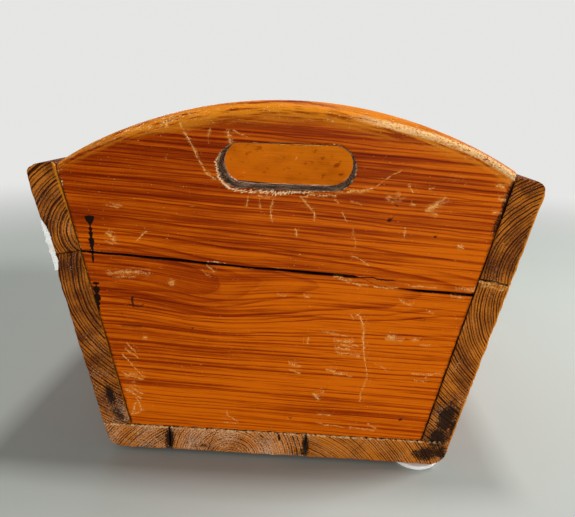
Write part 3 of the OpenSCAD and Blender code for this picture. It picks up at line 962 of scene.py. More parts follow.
def on_side(carcass, right, board):
    """Points of a side plank in the box's frame: its wide axis goes up the slope from the floor, its
    thick axis out from the inside, and its long axis along the box."""
    up, along, out = board.T
    cosine, sine = math.cos(carcass.sizes.side_lean), math.sin(carcass.sizes.side_lean)
    x = INSIDE_HALF + out * cosine + up * sine
    z = FLOOR_TOP - out * sine + up * cosine
    return np.stack([x if right else -x, along, z], -1)


def side_plank(carcass, right, upper, material):
    """One plank of a side. The lower one is cut level where it stands on the floor, and the upper one is
    rounded along its top. The left side's front edge has a worn hollow."""
    side = "right" if right else "left"
    level = "upper" if upper else "lower"
    node = f"{side}_side_{level}"
    seed = 50 + 10 * right + 20 * upper
    seam_up = SIDE_SEAMS[right]
    lift = (0.3 if right else 0.1) * MM
    bottom = seam_up + lift if upper else 0.0
    top = carcass.side_w if upper else seam_up
    length = high(node, "Y") - low(node, "Y")
    board = Board(top - bottom, length, carcass.side_t, (1.5 * MM, 4 * MM, 1.5 * MM), seed,
                  LONG_EDGE_LINES)
    soft = 0.7 * MM
    if upper:
        board.round_section((soft, soft, carcass.sizes.side_round / 2, carcass.sizes.side_round))
    else:
        board.round_section((soft,) * 4)
    board.wear_ends(board.ragged(1.3 * carcass.sizes.arris, 0.45 * MM))
    # The faces inside the plank's joints are marked for painted shade, half as much on the left.
    gap = board.facing(0, -1)
    if not upper:
        gap = np.maximum(gap, board.facing(0, 1))
    gap = gap * (1.0 if right else 0.5)
    up = board.points[:, 0] + board.half[0] + bottom
    out = board.points[:, 2] + board.half[2]
    along = board.points[:, 1]
    if not upper:
        level_cut = out * carcass.lean
        up = level_cut + up * (top - level_cut) / top
    dip = hand_planing(np.stack([along, up, out], -1), seed) * smooth(0, 6 * MM, board.half[1] - abs(along))
    out = np.where(out > board.half[2], out - dip, out + dip)
    if not right:
        out = out - carcass.hollow(up, along) * smooth(0, board.half[2], out)
    points = on_side(carcass, right, np.stack([up, along, out], -1))
    marks = Marks(len(points))
    outside = out > carcass.side_t - 2 * MM
    inside = out < 2 * MM
    marks.draw(along / MM, up / MM, outside, stray_strokes(seed, 60, (-195, 195), (5, 200)))
    marks.draw(along / MM, up / MM, inside, stray_strokes(seed + 1, 40, (-170, 170), (5, 200)))
    marks.haze(along / MM, up / MM, outside, nail_stains(NAIL_UPS[right]))
    if right:
        marks.draw(points[:, 0] / MM, points[:, 2] / MM, along < -190 * MM, JOINT_STROKES)
    marks.haze(points[:, 0] / MM, points[:, 2] / MM, np.abs(along) > 190 * MM, SOOT_AND_JOINT_SHADE)
    quads = board.quads[:, ::-1] if right else board.quads
    top_face = smooth(5 * MM, 2 * MM, board.half[0] - board.points[:, 0]) if upper else 0 * gap
    piece = build_mesh(f"{side}_{level}_plank", points, quads, arris=board.arris, gap=gap,
                       top_face=top_face, **marks.attributes())
    return dress(piece, node, material)


def nail_stains(ups):
    """Iron stains on a side: a black ring round each nail's head, with a run below it."""
    spots = []
    for along in (-SIDE_NAIL_Y, SIDE_NAIL_Y):
        for number, up in enumerate(ups):
            run_along = along + 1.2 * math.sin(3.1 * number)
            run_length = 9 + 2 * math.sin(2 * number)
            spots.append((-1.0, along, up, 5.2, 3.4, 0))
            spots.append((-0.65, run_along, up - 8, 2.4, run_length, 0))
    return spots


def floor_board(carcass, place, material):
    """One floor board. The outer ones carry on the lean of the sides and are rounded underneath."""
    node = "floor_" + place
    seed = {"left": 90, "middle": 91, "right": 92}[place]
    outer = {"left": -1, "middle": 0, "right": 1}[place]
    x_low, x_high = low(node, "X"), high(node, "X")
    length = high(node, "Y") - low(node, "Y")
    thick = FLOOR_TOP - FLOOR_LOW
    board = Board(x_high - x_low, length, thick, (1.5 * MM, 4 * MM, 1.5 * MM), seed)
    small, big = 0.6 * MM, carcass.sizes.floor_round
    radii = {"left": (big, small, small, small), "middle": (small,) * 4,
             "right": (small, small, big, small)}[place]
    board.round_section(radii, split=big - thick / 2 + 0.3 * MM)
    board.wear_ends(board.ragged(1.2 * carcass.sizes.arris, 0.45 * MM))
    # The faces between the boards are marked for painted shade.
    gap = 0 * board.arris
    if place != "left":
        gap = np.maximum(gap, board.facing(0, -1))
    if place != "right":
        gap = np.maximum(gap, board.facing(0, 1))
    below_top = thick / 2 - board.points[:, 2]
    s = board.points[:, 0] / board.half[0]
    x = (x_low + x_high) / 2 + board.points[:, 0] - outer * below_top * carcass.lean * (1 + outer * s) / 2
    z = FLOOR_TOP - below_top
    points = np.stack([x, board.points[:, 1], z], -1)
    marks = Marks(len(points))
    x, y, z = points.T / MM
    marks.draw(x, y, below_top < 1 * MM, stray_strokes(seed, 60, (x.min(), x.max()), (-170, 170)))
    marks.draw(x, z, y < FRONT / MM + 2, FLOOR_STROKES)
    marks.haze(x, z, np.abs(y) > 190, SOOT_AND_JOINT_SHADE)
    piece = build_mesh(f"{place}_floor_board", points, board.quads, arris=board.arris, gap=gap,
                       **marks.attributes())
    return dress(piece, node, material)


def nail_group(node, heads, wide_axis, out_axis, material):
    """Cut nails as one piece, with their heads at the given places: a tapered shank under a flat head that
    stands a little proud. out_axis points out of the boards, and wide_axis across the heads."""
    stations = np.array([-0.25, -0.2, 0.1, 1.2, 1.5, 1.55, 12, 25, 38, 50]) * MM
    half_wide = np.array([2.9, 3.15, 3.2, 3.2, 3.1, 1.6, 1.4, 1.2, 1.0, 0.8]) * MM
    half_thick = np.array([1.05, 1.15, 1.2, 1.2, 1.2, 1.2, 1.2, 1.2, 1.2, 1.2]) * MM
    grid = np.array([-1, -0.85, -0.3, 0.3, 0.85, 1])
    shape, quads = shell(grid, np.arange(len(stations), dtype=float), grid)
    level = shape[:, 1].astype(int)
    soft = 1 - 0.12 * (np.abs(shape[:, 0]) * np.abs(shape[:, 2])) ** 3
    rough = 1 + 0.05 * waves(shape, 1.6, 7)
    across = shape[:, 0] * half_wide[level] * soft * rough
    thick = shape[:, 2] * half_thick[level] * soft * rough
    depth = stations[level]
    thick_axis = np.cross(wide_axis, -np.array(out_axis))
    points, faces = [], []
    for number, head in enumerate(heads):
        points.append(np.array(head) + np.outer(across, wide_axis) - np.outer(depth, out_axis)
                      + np.outer(thick, thick_axis))
        faces.append(quads + number * len(shape))
    piece = build_mesh(node.replace("nails", "nail_set"), np.concatenate(points), np.concatenate(faces))
    return dress(piece, node, material)


def felt_disc(node, material):
    """A pressed felt pad: a square lattice drawn to a disc, each square ring becoming a circle, with a
    soft edge and a little fuzz."""
    (x0, y0, z0), (x1, y1, z1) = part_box(node)
    radius, thick = (x1 - x0) / 2, z1 - z0
    across = spaced(radius, 0.8 * MM, FELT_EDGE_LINES)
    through = np.array([-1, -0.93, -0.8, -0.6, -0.3, 0, 0.3, 0.6, 0.8, 0.93, 1]) * thick / 2
    points, quads = shell(across, across, through)
    u, v, w = points.T
    square = np.maximum(np.abs(u), np.abs(v))
    circle = np.maximum(np.hypot(u, v), 1e-9)
    seed = int(abs(x0 * 977 + y0 * 313) * 100) % 97      # differs from pad to pad
    fuzz = 0.22 * MM * np.abs(waves(points, 2.2 * MM, seed, 24))
    p, q = round_off(radius - square, thick / 2 - np.abs(w), 0.9 * MM)
    reach = radius - p - fuzz * smooth(2 * MM, 0, p)
    height = np.sign(w) * (thick / 2 - q)
    points = np.stack([u / circle * reach, v / circle * reach, height], -1)
    points += ((x0 + x1) / 2, (y0 + y1) / 2, (z0 + z1) / 2)
    piece = build_mesh(node.replace("felt_pad", "felt_disc"), points, quads)
    return dress(piece, node, material)


def label_sheet(carcass, material):
    """The paper label: a thin sheet glued to the left side's outer face. Its torn front edge is folded in
    over the worn hollow: from the front the sheet's middle line runs straight out of the hollow's floor,
    turns, and runs back along the side."""
    up_low, up_high, length = 134 * MM, 172 * MM, 58 * MM
    half_thick = 0.13 * MM
    up_count, fold_count, flat_count = 58, 17, 36        # lines up the slope, near the fold, and behind it
    ups = np.linspace(-1, 1, up_count) * (up_high - up_low) / 2
    alongs = np.concatenate([np.linspace(0, 6, fold_count), np.linspace(7, length / MM, flat_count)]) * MM
    points, quads = shell(ups, alongs, np.array([-1.0, 0, 1]) * half_thick)
    up, along, layer = points.T
    place = np.stack([up, 0 * up, 0 * up], -1)
    up = up + (up_low + up_high) / 2
    fold = carcass.hollow(up, FRONT) + 0.25 * MM * (1 + waves(place, 3 * MM, 301))
    turn = smooth(-0.4 * MM, 0.4 * MM, along - fold)
    crumple = 0.25 * MM * (1 + waves(np.stack([up, along, 0 * up], -1), 3 * MM, 302)) * (1 - turn)
    out = carcass.side_t + 0.15 * MM - np.clip(fold - along, 0, None) + layer * turn
    torn = 0.5 * MM * np.clip(waves(place, 2.2 * MM, 303), 0, None)
    out = out + torn * np.exp(-((along - fold) / (0.6 * MM)) ** 2)
    y = FRONT + 0.35 * MM + np.clip(along - fold, 0, None) + crumple - layer * (1 - turn)
    points = on_side(carcass, False, np.stack([up, y, out], -1))
    piece = build_mesh("label_sheet", points, quads)
    return dress(piece, "paper_label", material)


# ---- Materials ----

class Number:
    """A number that a material's nodes work out. Python's operators on it add Math nodes."""

    def __init__(self, paint, socket):
        self.paint = paint
        self.socket = socket

    def __add__(self, other):
        return self.paint.math("ADD", self, other)

    __radd__ = __add__

    def __sub__(self, other):
        return self.paint.math("SUBTRACT", self, other)

    def __rsub__(self, other):
        return self.paint.math("SUBTRACT", other, self)

    def __mul__(self, other):
        return self.paint.math("MULTIPLY", self, other)

    __rmul__ = __mul__

    def __abs__(self):
        return self.paint.math("ABSOLUTE", self)


def set_stops(ramp, stops):
    """Gives a colour ramp its stops, each a place and a grey level from 0 to 1."""
    for _ in stops[2:]:
        ramp.elements.new(0.5)
    for element, (place, level) in zip(ramp.elements, stops):
        element.position = place
        element.color = (level,) * 3 + (1.0,)


class Paint:
    """The nodes of one material or world, added by the methods here."""

    def __init__(self, owner):
        owner.use_nodes = True
        self.owner = owner
        self.tree = owner.node_tree
        self.tree.nodes.clear()

    def node(self, kind, settings=None, inputs=None):
        """Adds a node: its settings are made first, a ramp's stops among them, then its inputs are fed by
        name or number."""
        node = self.tree.nodes.new(kind)
        for key, value in (settings or {}).items():
            if key == "stops":
                set_stops(node.color_ramp, value)
            else:
                setattr(node, key, value)
        for key, value in (inputs or {}).items():
            value = value.socket if isinstance(value, Number) else value
            if isinstance(value, bpy.types.NodeSocket):
                self.tree.links.new(value, node.inputs[key])
            else:
                node.inputs[key].default_value = value
        return node

    def math(self, operation, *values):
        """A Math node on one or more values."""
        node = self.node("ShaderNodeMath", {"operation": operation}, dict(enumerate(values)))
        return Number(self, node.outputs[0])

    def largest(self, first, *others):
        """The largest of some values."""
        for other in others:
            first = self.math("MAXIMUM", first, other)
        return first

    def length(self, first, second):
        """The length of a step along two axes: the root of the sum of their squares."""
        return self.math("SQRT", first * first + second * second)

    def position(self):
        """The piece's own coordinates, in millimetres."""
        place = self.node("ShaderNodeTexCoord").outputs["Object"]
        split = self.node("ShaderNodeSeparateXYZ", inputs={0: place})
        return [Number(self, output) * 1000.0 for output in split.outputs]

    def noise(self, place, scale, shift=(0, 0, 0), detail=2.0, roughness=0.5):
        """Fractal noise around 0.5 on three coordinates, each times its scale and moved by its shift. One
        scale may stand for all three."""
        scales = scale if isinstance(scale, tuple) else (scale,) * 3
        moved = [part * size + move if move else part * size
                 for part, size, move in zip(place, scales, shift)]
        vector = self.node("ShaderNodeCombineXYZ", inputs=dict(enumerate(moved))).outputs[0]
        node = self.node("ShaderNodeTexNoise", {"noise_dimensions": "3D"},
                         {"Vector": vector, "Scale": 1.0, "Detail": detail, "Roughness": roughness})
        return Number(self, node.outputs[0])

    def line_noise(self, value, detail=0.0):
        """Noise around 0.5 on one number."""
        node = self.node("ShaderNodeTexNoise", {"noise_dimensions": "1D"},
                         {"W": value, "Scale": 1.0, "Detail": detail})
        return Number(self, node.outputs[0])

    def profile(self, value, stops):
        """A number that runs straight between stops of (place, height). The places all rise or all fall."""
        first, last = stops[0][0], stops[-1][0]
        tallest = max(height for _, height in stops)
        levels = [((place - first) / (last - first), height / tallest) for place, height in stops]
        along = (value - first) * (1 / (last - first))
        node = self.node("ShaderNodeValToRGB", {"stops": levels}, {0: along})
        return Number(self, node.outputs[0]) * tallest

    def smooth(self, lo, hi, value):
        """0 at lo, 1 at hi and a smooth S between them."""
        node = self.node("ShaderNodeMapRange", {"interpolation_type": "SMOOTHSTEP"},
                         {"Value": value, "From Min": lo, "From Max": hi})
        return Number(self, node.outputs[0])

    def mix(self, factor, first, second):
        """A blend of two colours."""
        pair = [colour if isinstance(colour, bpy.types.NodeSocket) else tuple(colour) + (1.0,)
                for colour in (first, second)]
        node = self.node("ShaderNodeMix", {"data_type": "RGBA"}, {0: factor, 6: pair[0], 7: pair[1]})
        return node.outputs[2]

    def attribute(self, name):
        """A number stored on the mesh's points."""
        node = self.node("ShaderNodeAttribute", {"attribute_type": "GEOMETRY", "attribute_name": name})
        return Number(self, node.outputs["Fac"])

    def bump(self, height):
        """The normal of a surface that is raised by height, in millimetres."""
        return self.node("ShaderNodeBump", inputs={"Height": height, "Distance": MM}).outputs[0]

    def surface(self, colour, roughness, normal=None, **constants):
        """A Principled BSDF. The constants' names are its inputs' names, with _ for each space."""
        inputs = {"Base Color": colour, "Roughness": roughness}
        if normal is not None:
            inputs["Normal"] = normal
        inputs.update({key.replace("_", " "): value for key, value in constants.items()})
        return self.node("ShaderNodeBsdfPrincipled", inputs=inputs).outputs[0]

    def finish(self, shader):
        """Ends the material in a shader."""
        self.node("ShaderNodeOutputMaterial", inputs={"Surface": shader})
        return self.owner


def new_paint(name):
    """The nodes of a new material."""
    return Paint(bpy.data.materials.new(name))


def halfway(first, second):
    """The colour halfway between two, by ratio."""
    return tuple((a * b) ** 0.5 for a, b in zip(first, second))


def toned(colour, shares):
    """A colour with each of its parts times its share."""
    return tuple(part * share for part, share in zip(colour, shares))


def grain(paint, across, behind, along, spacing, seed):
    """Growth rings of a board. across and behind are a point's distances from the pith, and along its
    place on it, in millimetres. A ring's count is the distance from the pith over the spacing, bent by
    noise that changes slowly along the grain. Returns the latewood, from 0 to 1."""
    place = (along, across, behind)
    sway = paint.noise(place, (0.008, 0.020, 0.020), shift=(0, 0, seed), detail=1.0)
    ripple = paint.noise(place, (0.022, 0.10, 0.10), shift=(0, 0, seed * 2))
    count = paint.length(across, behind) * (1 / spacing) + (sway - 0.5) * 1.5 + (ripple - 0.5) * 0.75
    count = count + (paint.line_noise(count * 0.6 + seed, detail=1.0) - 0.5) * 1.1
    part = paint.math("FRACT", count)
    bold = paint.line_noise(paint.math("FLOOR", count) * 0.73 + seed * 1.7)
    late = paint.smooth(0.45, 0.93, part) * paint.smooth(1.0, 0.94, part)
    return late * (paint.smooth(0.32, 0.62, bold) * 0.75 + 0.25)


def pine_face(paint, colours, late, across, behind, along, seed, shade_and_tone_fade=0.0):
    """The colour of varnished long grain: pale and dark wood by the rings, streaked by fibres, in tones that
    drift over the board. The fade argument makes it darker, partly as painted shade and partly as a drift in
    the wood's tone. Returns the colour and the fibres."""
    place = (along, across, behind)
    fibre = paint.noise(place, (0.012, 1.5, 1.5), shift=(0, 0, seed), detail=3.0, roughness=0.7)
    fine = paint.noise(place, (0.006, 0.55, 0.55), shift=(0, 0, seed * 4), detail=3.0, roughness=0.6)
    drift = paint.noise(place, (0.008, 0.03, 0.03), shift=(0, 0, seed * 3))
    streak = paint.noise(place, (0.004, 0.17, 0.17), shift=(0, 0, seed * 5), detail=4.0, roughness=0.65)
    blotch = paint.noise(place, (0.06, 0.14, 0.14), shift=(0, 0, seed * 7), detail=4.0, roughness=0.65)
    dark = late * 0.62 + (fibre - 0.5) * 0.9 + paint.smooth(0.48, 0.64, fine) * 0.42
    dark = dark + (streak - 0.5) * 1.5 + (drift - 0.5) * 0.8 + (blotch - 0.5) * 0.4 + 0.06 + shade_and_tone_fade
    middle = halfway(colours.face_pale, colours.face_dark)
    colour = paint.mix(paint.smooth(-0.15, 0.55, dark), colours.face_pale, middle)
    return paint.mix(paint.smooth(0.35, 1.15, dark), colour, colours.face_dark), fibre


def end_grain(paint, colours, late, across, behind, along, seed, tone, raw):
    """The colour of a board's end: crisp ring bands with fine pores. tone makes it darker, and raw sets
    how much of it pale torn fibres cover. Returns the colour and the pores."""
    place = (across, behind, along)
    grit = paint.noise(place, (1.3, 1.3, 0.3), shift=(0, 0, seed), detail=4.0, roughness=0.8)
    blotch = paint.noise(place, (0.07, 0.07, 0.02), shift=(0, 0, seed), detail=3.0)
    dark = late * 2.0 + (grit - 0.5) * 1.5 + (blotch - 0.5) * 1.6 + (tone - 0.08)
    middle = halfway(colours.end_pale, colours.end_dark)
    colour = paint.mix(paint.smooth(-0.35, 0.55, dark), colours.end_pale, middle)
    colour = paint.mix(paint.smooth(0.4, 1.0, dark), colour, colours.end_dark)
    torn = paint.noise(place, (1.2, 1.2, 0.1), shift=(30.0, 0, 0), detail=3.0, roughness=0.8)
    patch = paint.noise((across, behind, 0.0), 0.05, shift=(0, seed, 0), detail=3.0)
    torn = paint.smooth(0.565, 0.64, torn * 0.75 + patch * 0.25 + (raw - 0.5) * 0.12)
    return paint.mix(torn * 0.8, colour, colours.torn), grit


def marked(paint, colours, colour, place):
    """Lays the stains, the rubbed places and the strokes over a colour. Returns the colour, and how much
    of it is scored or rubbed bare."""
    jitter = paint.noise(place, 1.1, detail=3.0, roughness=0.7)
    breaks = paint.noise(place, 0.65, shift=(9.0, 0, 0), detail=3.0, roughness=0.7)
    chunk = paint.noise(place, 0.22, shift=(0, 0, 3.0), detail=4.0, roughness=0.7)
    # Soot, and at the floor boards' joints painted shade.
    soot = paint.attribute("soot") * 0.90 + (chunk - 0.5) * 0.8 + (jitter - 0.5) * 1.1
    colour = paint.mix(paint.smooth(0.28, 0.66, soot) * 0.95, colour, colours.stain_and_shade)
    flecks = paint.noise(place, (0.35, 0.5, 0.8), detail=4.0, roughness=0.75)
    rubbed = paint.smooth(0.42, 0.85, paint.attribute("rub") * 0.8 + (flecks - 0.5) * 1.3) * 0.75
    specks = paint.noise(place, (0.50, 0.50, 0.9), shift=(0, 0, 17.0), roughness=0.6)
    pale = paint.smooth(0.71, 0.77, specks + (breaks - 0.5) * 0.15) * 0.7
    dark = 0.0
    for letter in Marks.LAYERS:
        line = paint.attribute("line_" + letter)
        tone = paint.attribute("tone_" + letter)
        core = paint.smooth(1.2, 0.3, abs(line + (jitter - 0.5) * 3.4))
        whole = paint.smooth(0.46, 0.58, breaks + abs(tone) * 0.06)
        bruise = paint.smooth(4.0, 0.8, abs(line + (flecks - 0.5) * 4.0)) * paint.smooth(0.46, 0.62, flecks)
        ink = paint.smooth(1.15, 0.85, abs(line + (jitter - 0.5) * 1.4))
        pale = paint.largest(pale, tone * core * whole * 1.1)
        rubbed = paint.largest(rubbed, tone * bruise * 0.75)
        dark = paint.largest(dark, ink * tone * -1.0)
    fresh = paint.mix(paint.smooth(0.45, 0.62, jitter), colours.rubbed, colours.scratch)
    colour = paint.mix(rubbed, colour, fresh)
    colour = paint.mix(dark, colour, colours.stain_and_shade)
    return paint.mix(pale, colour, fresh), pale


def worn_bare(paint, colours, colour, amount, chatter):
    """Bare wood, in two tones, over as much of a colour as the amount says."""
    bare = paint.mix(paint.smooth(0.4, 0.6, chatter), colours.bare_wood, colours.scratch)
    return paint.mix(amount, colour, bare)


def end_board_rings(paint, x, z, depth, seed):
    """Rings of an end board, which was sawn beside the pith: the pith runs across the box 27 mm behind
    the face, falls to the right, and bends down round a knot. Returns a point's height over it, and the
    latewood."""
    knot_x, knot_z, knot_long, knot_high = -45.0, 132.0, 42.0, 26.0
    knot_along = (x - knot_x) * (1 / knot_long)
    knot_up = (z - knot_z) * (1 / knot_high)
    bend = paint.math("EXPONENT", (knot_along * knot_along + knot_up * knot_up) * -1.0) * -8.0
    pith_z = x * -0.042 + 148.5 + bend
    across = z - pith_z
    behind = x * 0.06 + 27.0 + depth * -1.0
    late = grain(paint, across, behind, x, 3.0, seed)
    return across, late * (paint.smooth(3.0, 20.0, abs(across)) * 0.6 + 0.4)


def end_board_dirt_and_shade(paint, carcass, place, depth, chatter):
    """Darkening on an end board: darker along both sides, painted shade on the faces inside the gaps and the
    joint and in the joint's cracks, and dirt feathered along the grain round the stains."""
    x, _, z = place
    to_side = (z - FLOOR_TOP / MM) * carcass.lean + INSIDE_HALF / MM - abs(x)
    dirt_and_shade = paint.smooth(3.0, 0.2, to_side + (chatter - 0.5) * 5.0) * 0.75
    step = carcass.sizes.seam_step
    fall = (carcass.seam_right + step - SEAM_LEFT) / (carcass.right_x - carcass.left_x)
    to_seam = z - (x - carcass.left_x / MM) * fall - SEAM_LEFT / MM
    to_seam = paint.math("MINIMUM", abs(to_seam), abs(to_seam + step / MM))
    # Painted shade inside the joint's cracks.
    crack = paint.smooth(2.4, 1.6, to_seam) * paint.smooth(0.5, 1.3, depth)
    feather = paint.noise(place, (0.10, 0.3, 1.0), detail=3.0, roughness=0.6)
    fringe = paint.smooth(0.5, 0.75, paint.attribute("soot") * 0.55 + (feather - 0.5) * 1.5)
    return paint.largest(dirt_and_shade, fringe * 0.9, paint.attribute("gap"), crack)


def arch_finish(paint, carcass, colours, colour, place, worn):
    """The arched edge: a band of amber, partly thin varnish and partly a painted highlight, with dark
    smudges, a line of painted shade along the very edge, and a strip below it that is worn bare on the right
    and slashed on the left. Returns the colour, and how worn it is."""
    x, y, z = place
    band_low, band_full = 17.0, 6.0             # depths below the arch where the amber begins and is full
    strip_depth = 5.6                           # depth of the worn strip's middle below the top of the arch
    from_arch = carcass.arch_r / MM - paint.length(x, z - carcass.arch_z / MM)
    around = paint.noise((x, y, from_arch), (0.035, 0.10, 0.45), detail=4.0, roughness=0.65)
    taper = paint.smooth(60.0, 140.0, abs(x))
    # The amber band: partly thin varnish, partly a painted highlight on the arch's rounding.
    band = paint.smooth(band_low, band_full, from_arch + (around - 0.5) * 12.0 + taper * 6.0)
    smudge = paint.mix(paint.smooth(0.47, 0.66, around), colours.amber_wear_and_highlight, colours.face_dark)
    colour = paint.mix(band * 0.8, colour, smudge)
    # Painted shade along the very edge of the arch's rounding.
    edge = paint.smooth(3.4, 1.2, from_arch + (around - 0.5) * 3.0) * (taper * 0.25 + 0.3)
    colour = paint.mix(edge, colour, colours.face_dark)
    chip = paint.noise(place, (0.55, 0.8, 0.9), detail=3.0, roughness=0.7)
    slanted = (x * 0.16 + z * 0.10, y, z * 0.8 - x * 0.5)
    slash = paint.noise(slanted, (1.0, 0.5, 1.0), detail=3.0, roughness=0.7)
    from_strip = abs(from_arch + taper * 4.2 - strip_depth + (around - 0.5) * 3.0)
    right = paint.smooth(38.0, 75.0, x) * paint.smooth(3.0, 1.2, from_strip) * paint.smooth(0.36, 0.50, chip)
    left = paint.smooth(-35.0, -80.0, x) * paint.smooth(5.0, 1.0, from_strip)
    left = left * paint.smooth(0.55, 0.64, slash)
    stray = band * paint.smooth(0.62, 0.70, chip)
    return colour, paint.largest(worn, right, left, stray)


def hole_finish(paint, colours, colour, place, front, chatter):
    """The hand hole: raw, dirty fibres on its wall, painted shade along its upper lip, and pale splinters
    round its rim. Returns the colour, the wall's share of it and the wall's fibres."""
    wall = paint.attribute("wall")
    fray = paint.noise(place, (0.06, 0.22, 0.7), detail=4.0, roughness=0.8)
    if front:
        raw = paint.mix(paint.smooth(0.56, 0.46, fray), colours.hole_grey, colours.hole_dark)
        raw = paint.mix(paint.smooth(0.60, 0.66, fray) * 0.7, raw, colours.splinter)
    else:
        raw = paint.mix(paint.smooth(0.45, 0.65, fray), colours.inner_wood, colours.face_dark)
    colour = paint.mix(paint.smooth(0.15, 0.6, wall + (chatter - 0.5) * 0.8), colour, raw)
    # Painted shade along the upper lip of the hole.
    colour = paint.mix(paint.attribute("lip") * 0.9, colour, colours.stain_and_shade)
    splinter = paint.noise(place, (0.60, 0.8, 1.3), shift=(0, 0, 5.0), detail=4.0, roughness=0.8)
    rim = paint.smooth(0.50, 0.74, paint.attribute("fray") + (splinter - 0.5) * 1.7)
    return paint.mix(rim * 0.9, colour, colours.splinter), wall, fray


def dripped(paint, colours, colour, x, z, depth):
    """The black drips that have run down the outer face."""
    ragged = paint.noise((x, 0.0, z), 0.8) - 0.5
    for middle, stops in FRONT_DRIPS:
        inside = paint.profile(z, stops) - abs(x - middle + ragged * 1.2) + ragged * 0.8
        wet = paint.smooth(-0.15, 0.30, inside) * paint.smooth(2.0, 1.0, depth)
        colour = paint.mix(wet, colour, colours.stain_and_shade)
    return colour


def end_board_material(carcass, colours, name, front, upper):
    """Varnished pine of one end board, whose grain runs across the box."""
    paint = new_paint(name)
    place = paint.position()
    x, y, z = place
    depth = y * (1.0 if front else -1.0) - FRONT / MM     # distance behind the board's outer face
    seed = (3.1 if upper else 7.7) + (0 if front else 20)
    across, late = end_board_rings(paint, x, z, depth, seed)
    # Darker upwards and to the left: partly painted shade, partly a drift in the wood's tone.
    shade_and_tone_fade = (z - 150.0) * (x * -0.000007 + 0.0017) + x * -0.0010     # darker upwards and to the left
    colour, fibre = pine_face(paint, colours, late, across, depth, x, seed, shade_and_tone_fade)
    arris = paint.attribute("arris")
    chatter = paint.noise(place, (0.45, 0.8, 0.45), detail=4.0, roughness=0.7)
    patch = paint.noise(place, (0.04, 0.1, 0.04), shift=(0, 0, seed))
    worn = paint.smooth(0.55, 0.85, arris * 0.50 + (chatter - 0.5) * 1.3 + (patch - 0.5) * 1.2)
    inner = paint.smooth(END_T / MM - 1.5, END_T / MM - 0.3, depth)
    colour = paint.mix(inner * 0.85, colour, inner_colour(paint, colours, place, late))
    # Darker along the sides, painted shade in the gaps and the joint, and dirt round the stains.
    dirt_and_shade = end_board_dirt_and_shade(paint, carcass, place, depth, chatter)
    colour = paint.mix(dirt_and_shade, colour, colours.stain_and_shade)
    if upper:
        colour, worn = arch_finish(paint, carcass, colours, colour, place, worn)
        colour, wall, fray = hole_finish(paint, colours, colour, place, front, chatter)
    colour, scored = marked(paint, colours, colour, place)
    if front:
        colour = dripped(paint, colours, colour, x, z, depth)
    colour = worn_bare(paint, colours, colour, worn * 0.85, chatter)
    bare = paint.largest(worn, scored)
    roughness = bare * 0.3 + arris * 0.25 + (fibre - 0.5) * 0.15 + 0.36
    height = late * -0.05 + fibre * 0.08 + bare * -0.12
    if upper:
        height = height + wall * fray * 1.6
        roughness = roughness + wall * 0.5
    return paint.finish(paint.surface(colour, roughness, paint.bump(height), Specular_IOR_Level=0.02))


def inner_colour(paint, colours, place, late):
    """Amber wood of the inside, with small dark spots and drifting tones."""
    drift = paint.noise(place, (0.03, 0.03, 0.06), detail=3.0)
    spot = paint.noise(place, (0.10, 0.10, 0.16), shift=(0, 0, 4.0))
    dark = late * 0.10 + (drift - 0.5) * 1.2 + paint.smooth(0.60, 0.76, spot) * 0.5
    return paint.mix(paint.smooth(-0.2, 1.0, dark), colours.inner_wood, colours.face_dark)


def plank_material(carcass, colours, name, seed, kind):
    """Pine of a plank whose grain runs along the box, and whose ends show arcs of its rings. kind is left,
    right or floor."""
    pith_x, pith_z, spacing, tone, torn = RINGS[name]
    paint = new_paint(name + "_pine")
    place = paint.position()
    x, y, z = place
    across = x - pith_x
    behind = z - pith_z
    late = grain(paint, across, behind, y, spacing, seed)
    face, fibre = pine_face(paint, colours, late, across, behind, y, seed)
    to_end = abs(y) * -1.0 - FRONT / MM
    is_end = paint.smooth(1.3, 0.4, to_end)
    raw = paint.smooth(110.0, 35.0, z) * 0.5 + torn
    end, grit = end_grain(paint, colours, late, across, behind, y, seed, tone, raw)
    arris = paint.attribute("arris")
    chatter = paint.noise(place, 0.45, detail=4.0, roughness=0.7)
    patch = paint.noise(place, 0.04, shift=(0, 0, seed))
    worn = paint.smooth(0.55, 0.85, arris * 0.55 + (chatter - 0.5) * 1.3 + (patch - 0.5) * 0.9)
    inward = abs(x) - (z - FLOOR_TOP / MM) * carcass.lean - INSIDE_HALF / MM
    face = paint.mix(paint.smooth(0.8, 0.2, inward) * 0.72, face, inner_colour(paint, colours, place, late))
    top_face = paint.attribute("top_face")
    face = paint.mix(top_face * paint.smooth(0.15, 0.55, chatter), face, colours.end_dark)
    colour = paint.mix(is_end, face, end)
    # Painted shade in the joints' gaps and on the faces hidden inside the joints.
    inside_joint = paint.smooth(END_BACK - 0.5, END_BACK + 1.0, abs(y))
    hidden = paint.smooth(0.4, 0.1, FLOOR_TOP / MM - z if kind == "floor" else inward)
    joint = paint.largest(paint.attribute("gap") * 0.7, hidden * inside_joint)
    colour = paint.mix(joint * 0.95, colour, colours.stain_and_shade)
    colour, scored = marked(paint, colours, colour, place)
    near_end = paint.smooth(2.2, 0.8, to_end)
    if kind == "floor":
        fringe = paint.smooth(2.2, 0.5, FLOOR_TOP / MM - z) * paint.smooth(0.50, 0.62, chatter + 0.04)
        worn = paint.largest(worn, fringe * near_end)
    else:
        colour = side_rim_highlight(paint, colours, colour, kind, inward, z, chatter, near_end)
    colour = worn_bare(paint, colours, colour, worn * 0.8, chatter)
    bare = paint.largest(worn, scored)
    height = late * -0.15 * is_end + grit * 0.35 * is_end + fibre * 0.08 + bare * -0.1
    roughness = paint.largest(is_end * 0.3, bare * 0.3) + paint.largest(top_face, arris) * 0.25 + 0.36
    return paint.finish(paint.surface(colour, roughness, paint.bump(height), Specular_IOR_Level=0.05))


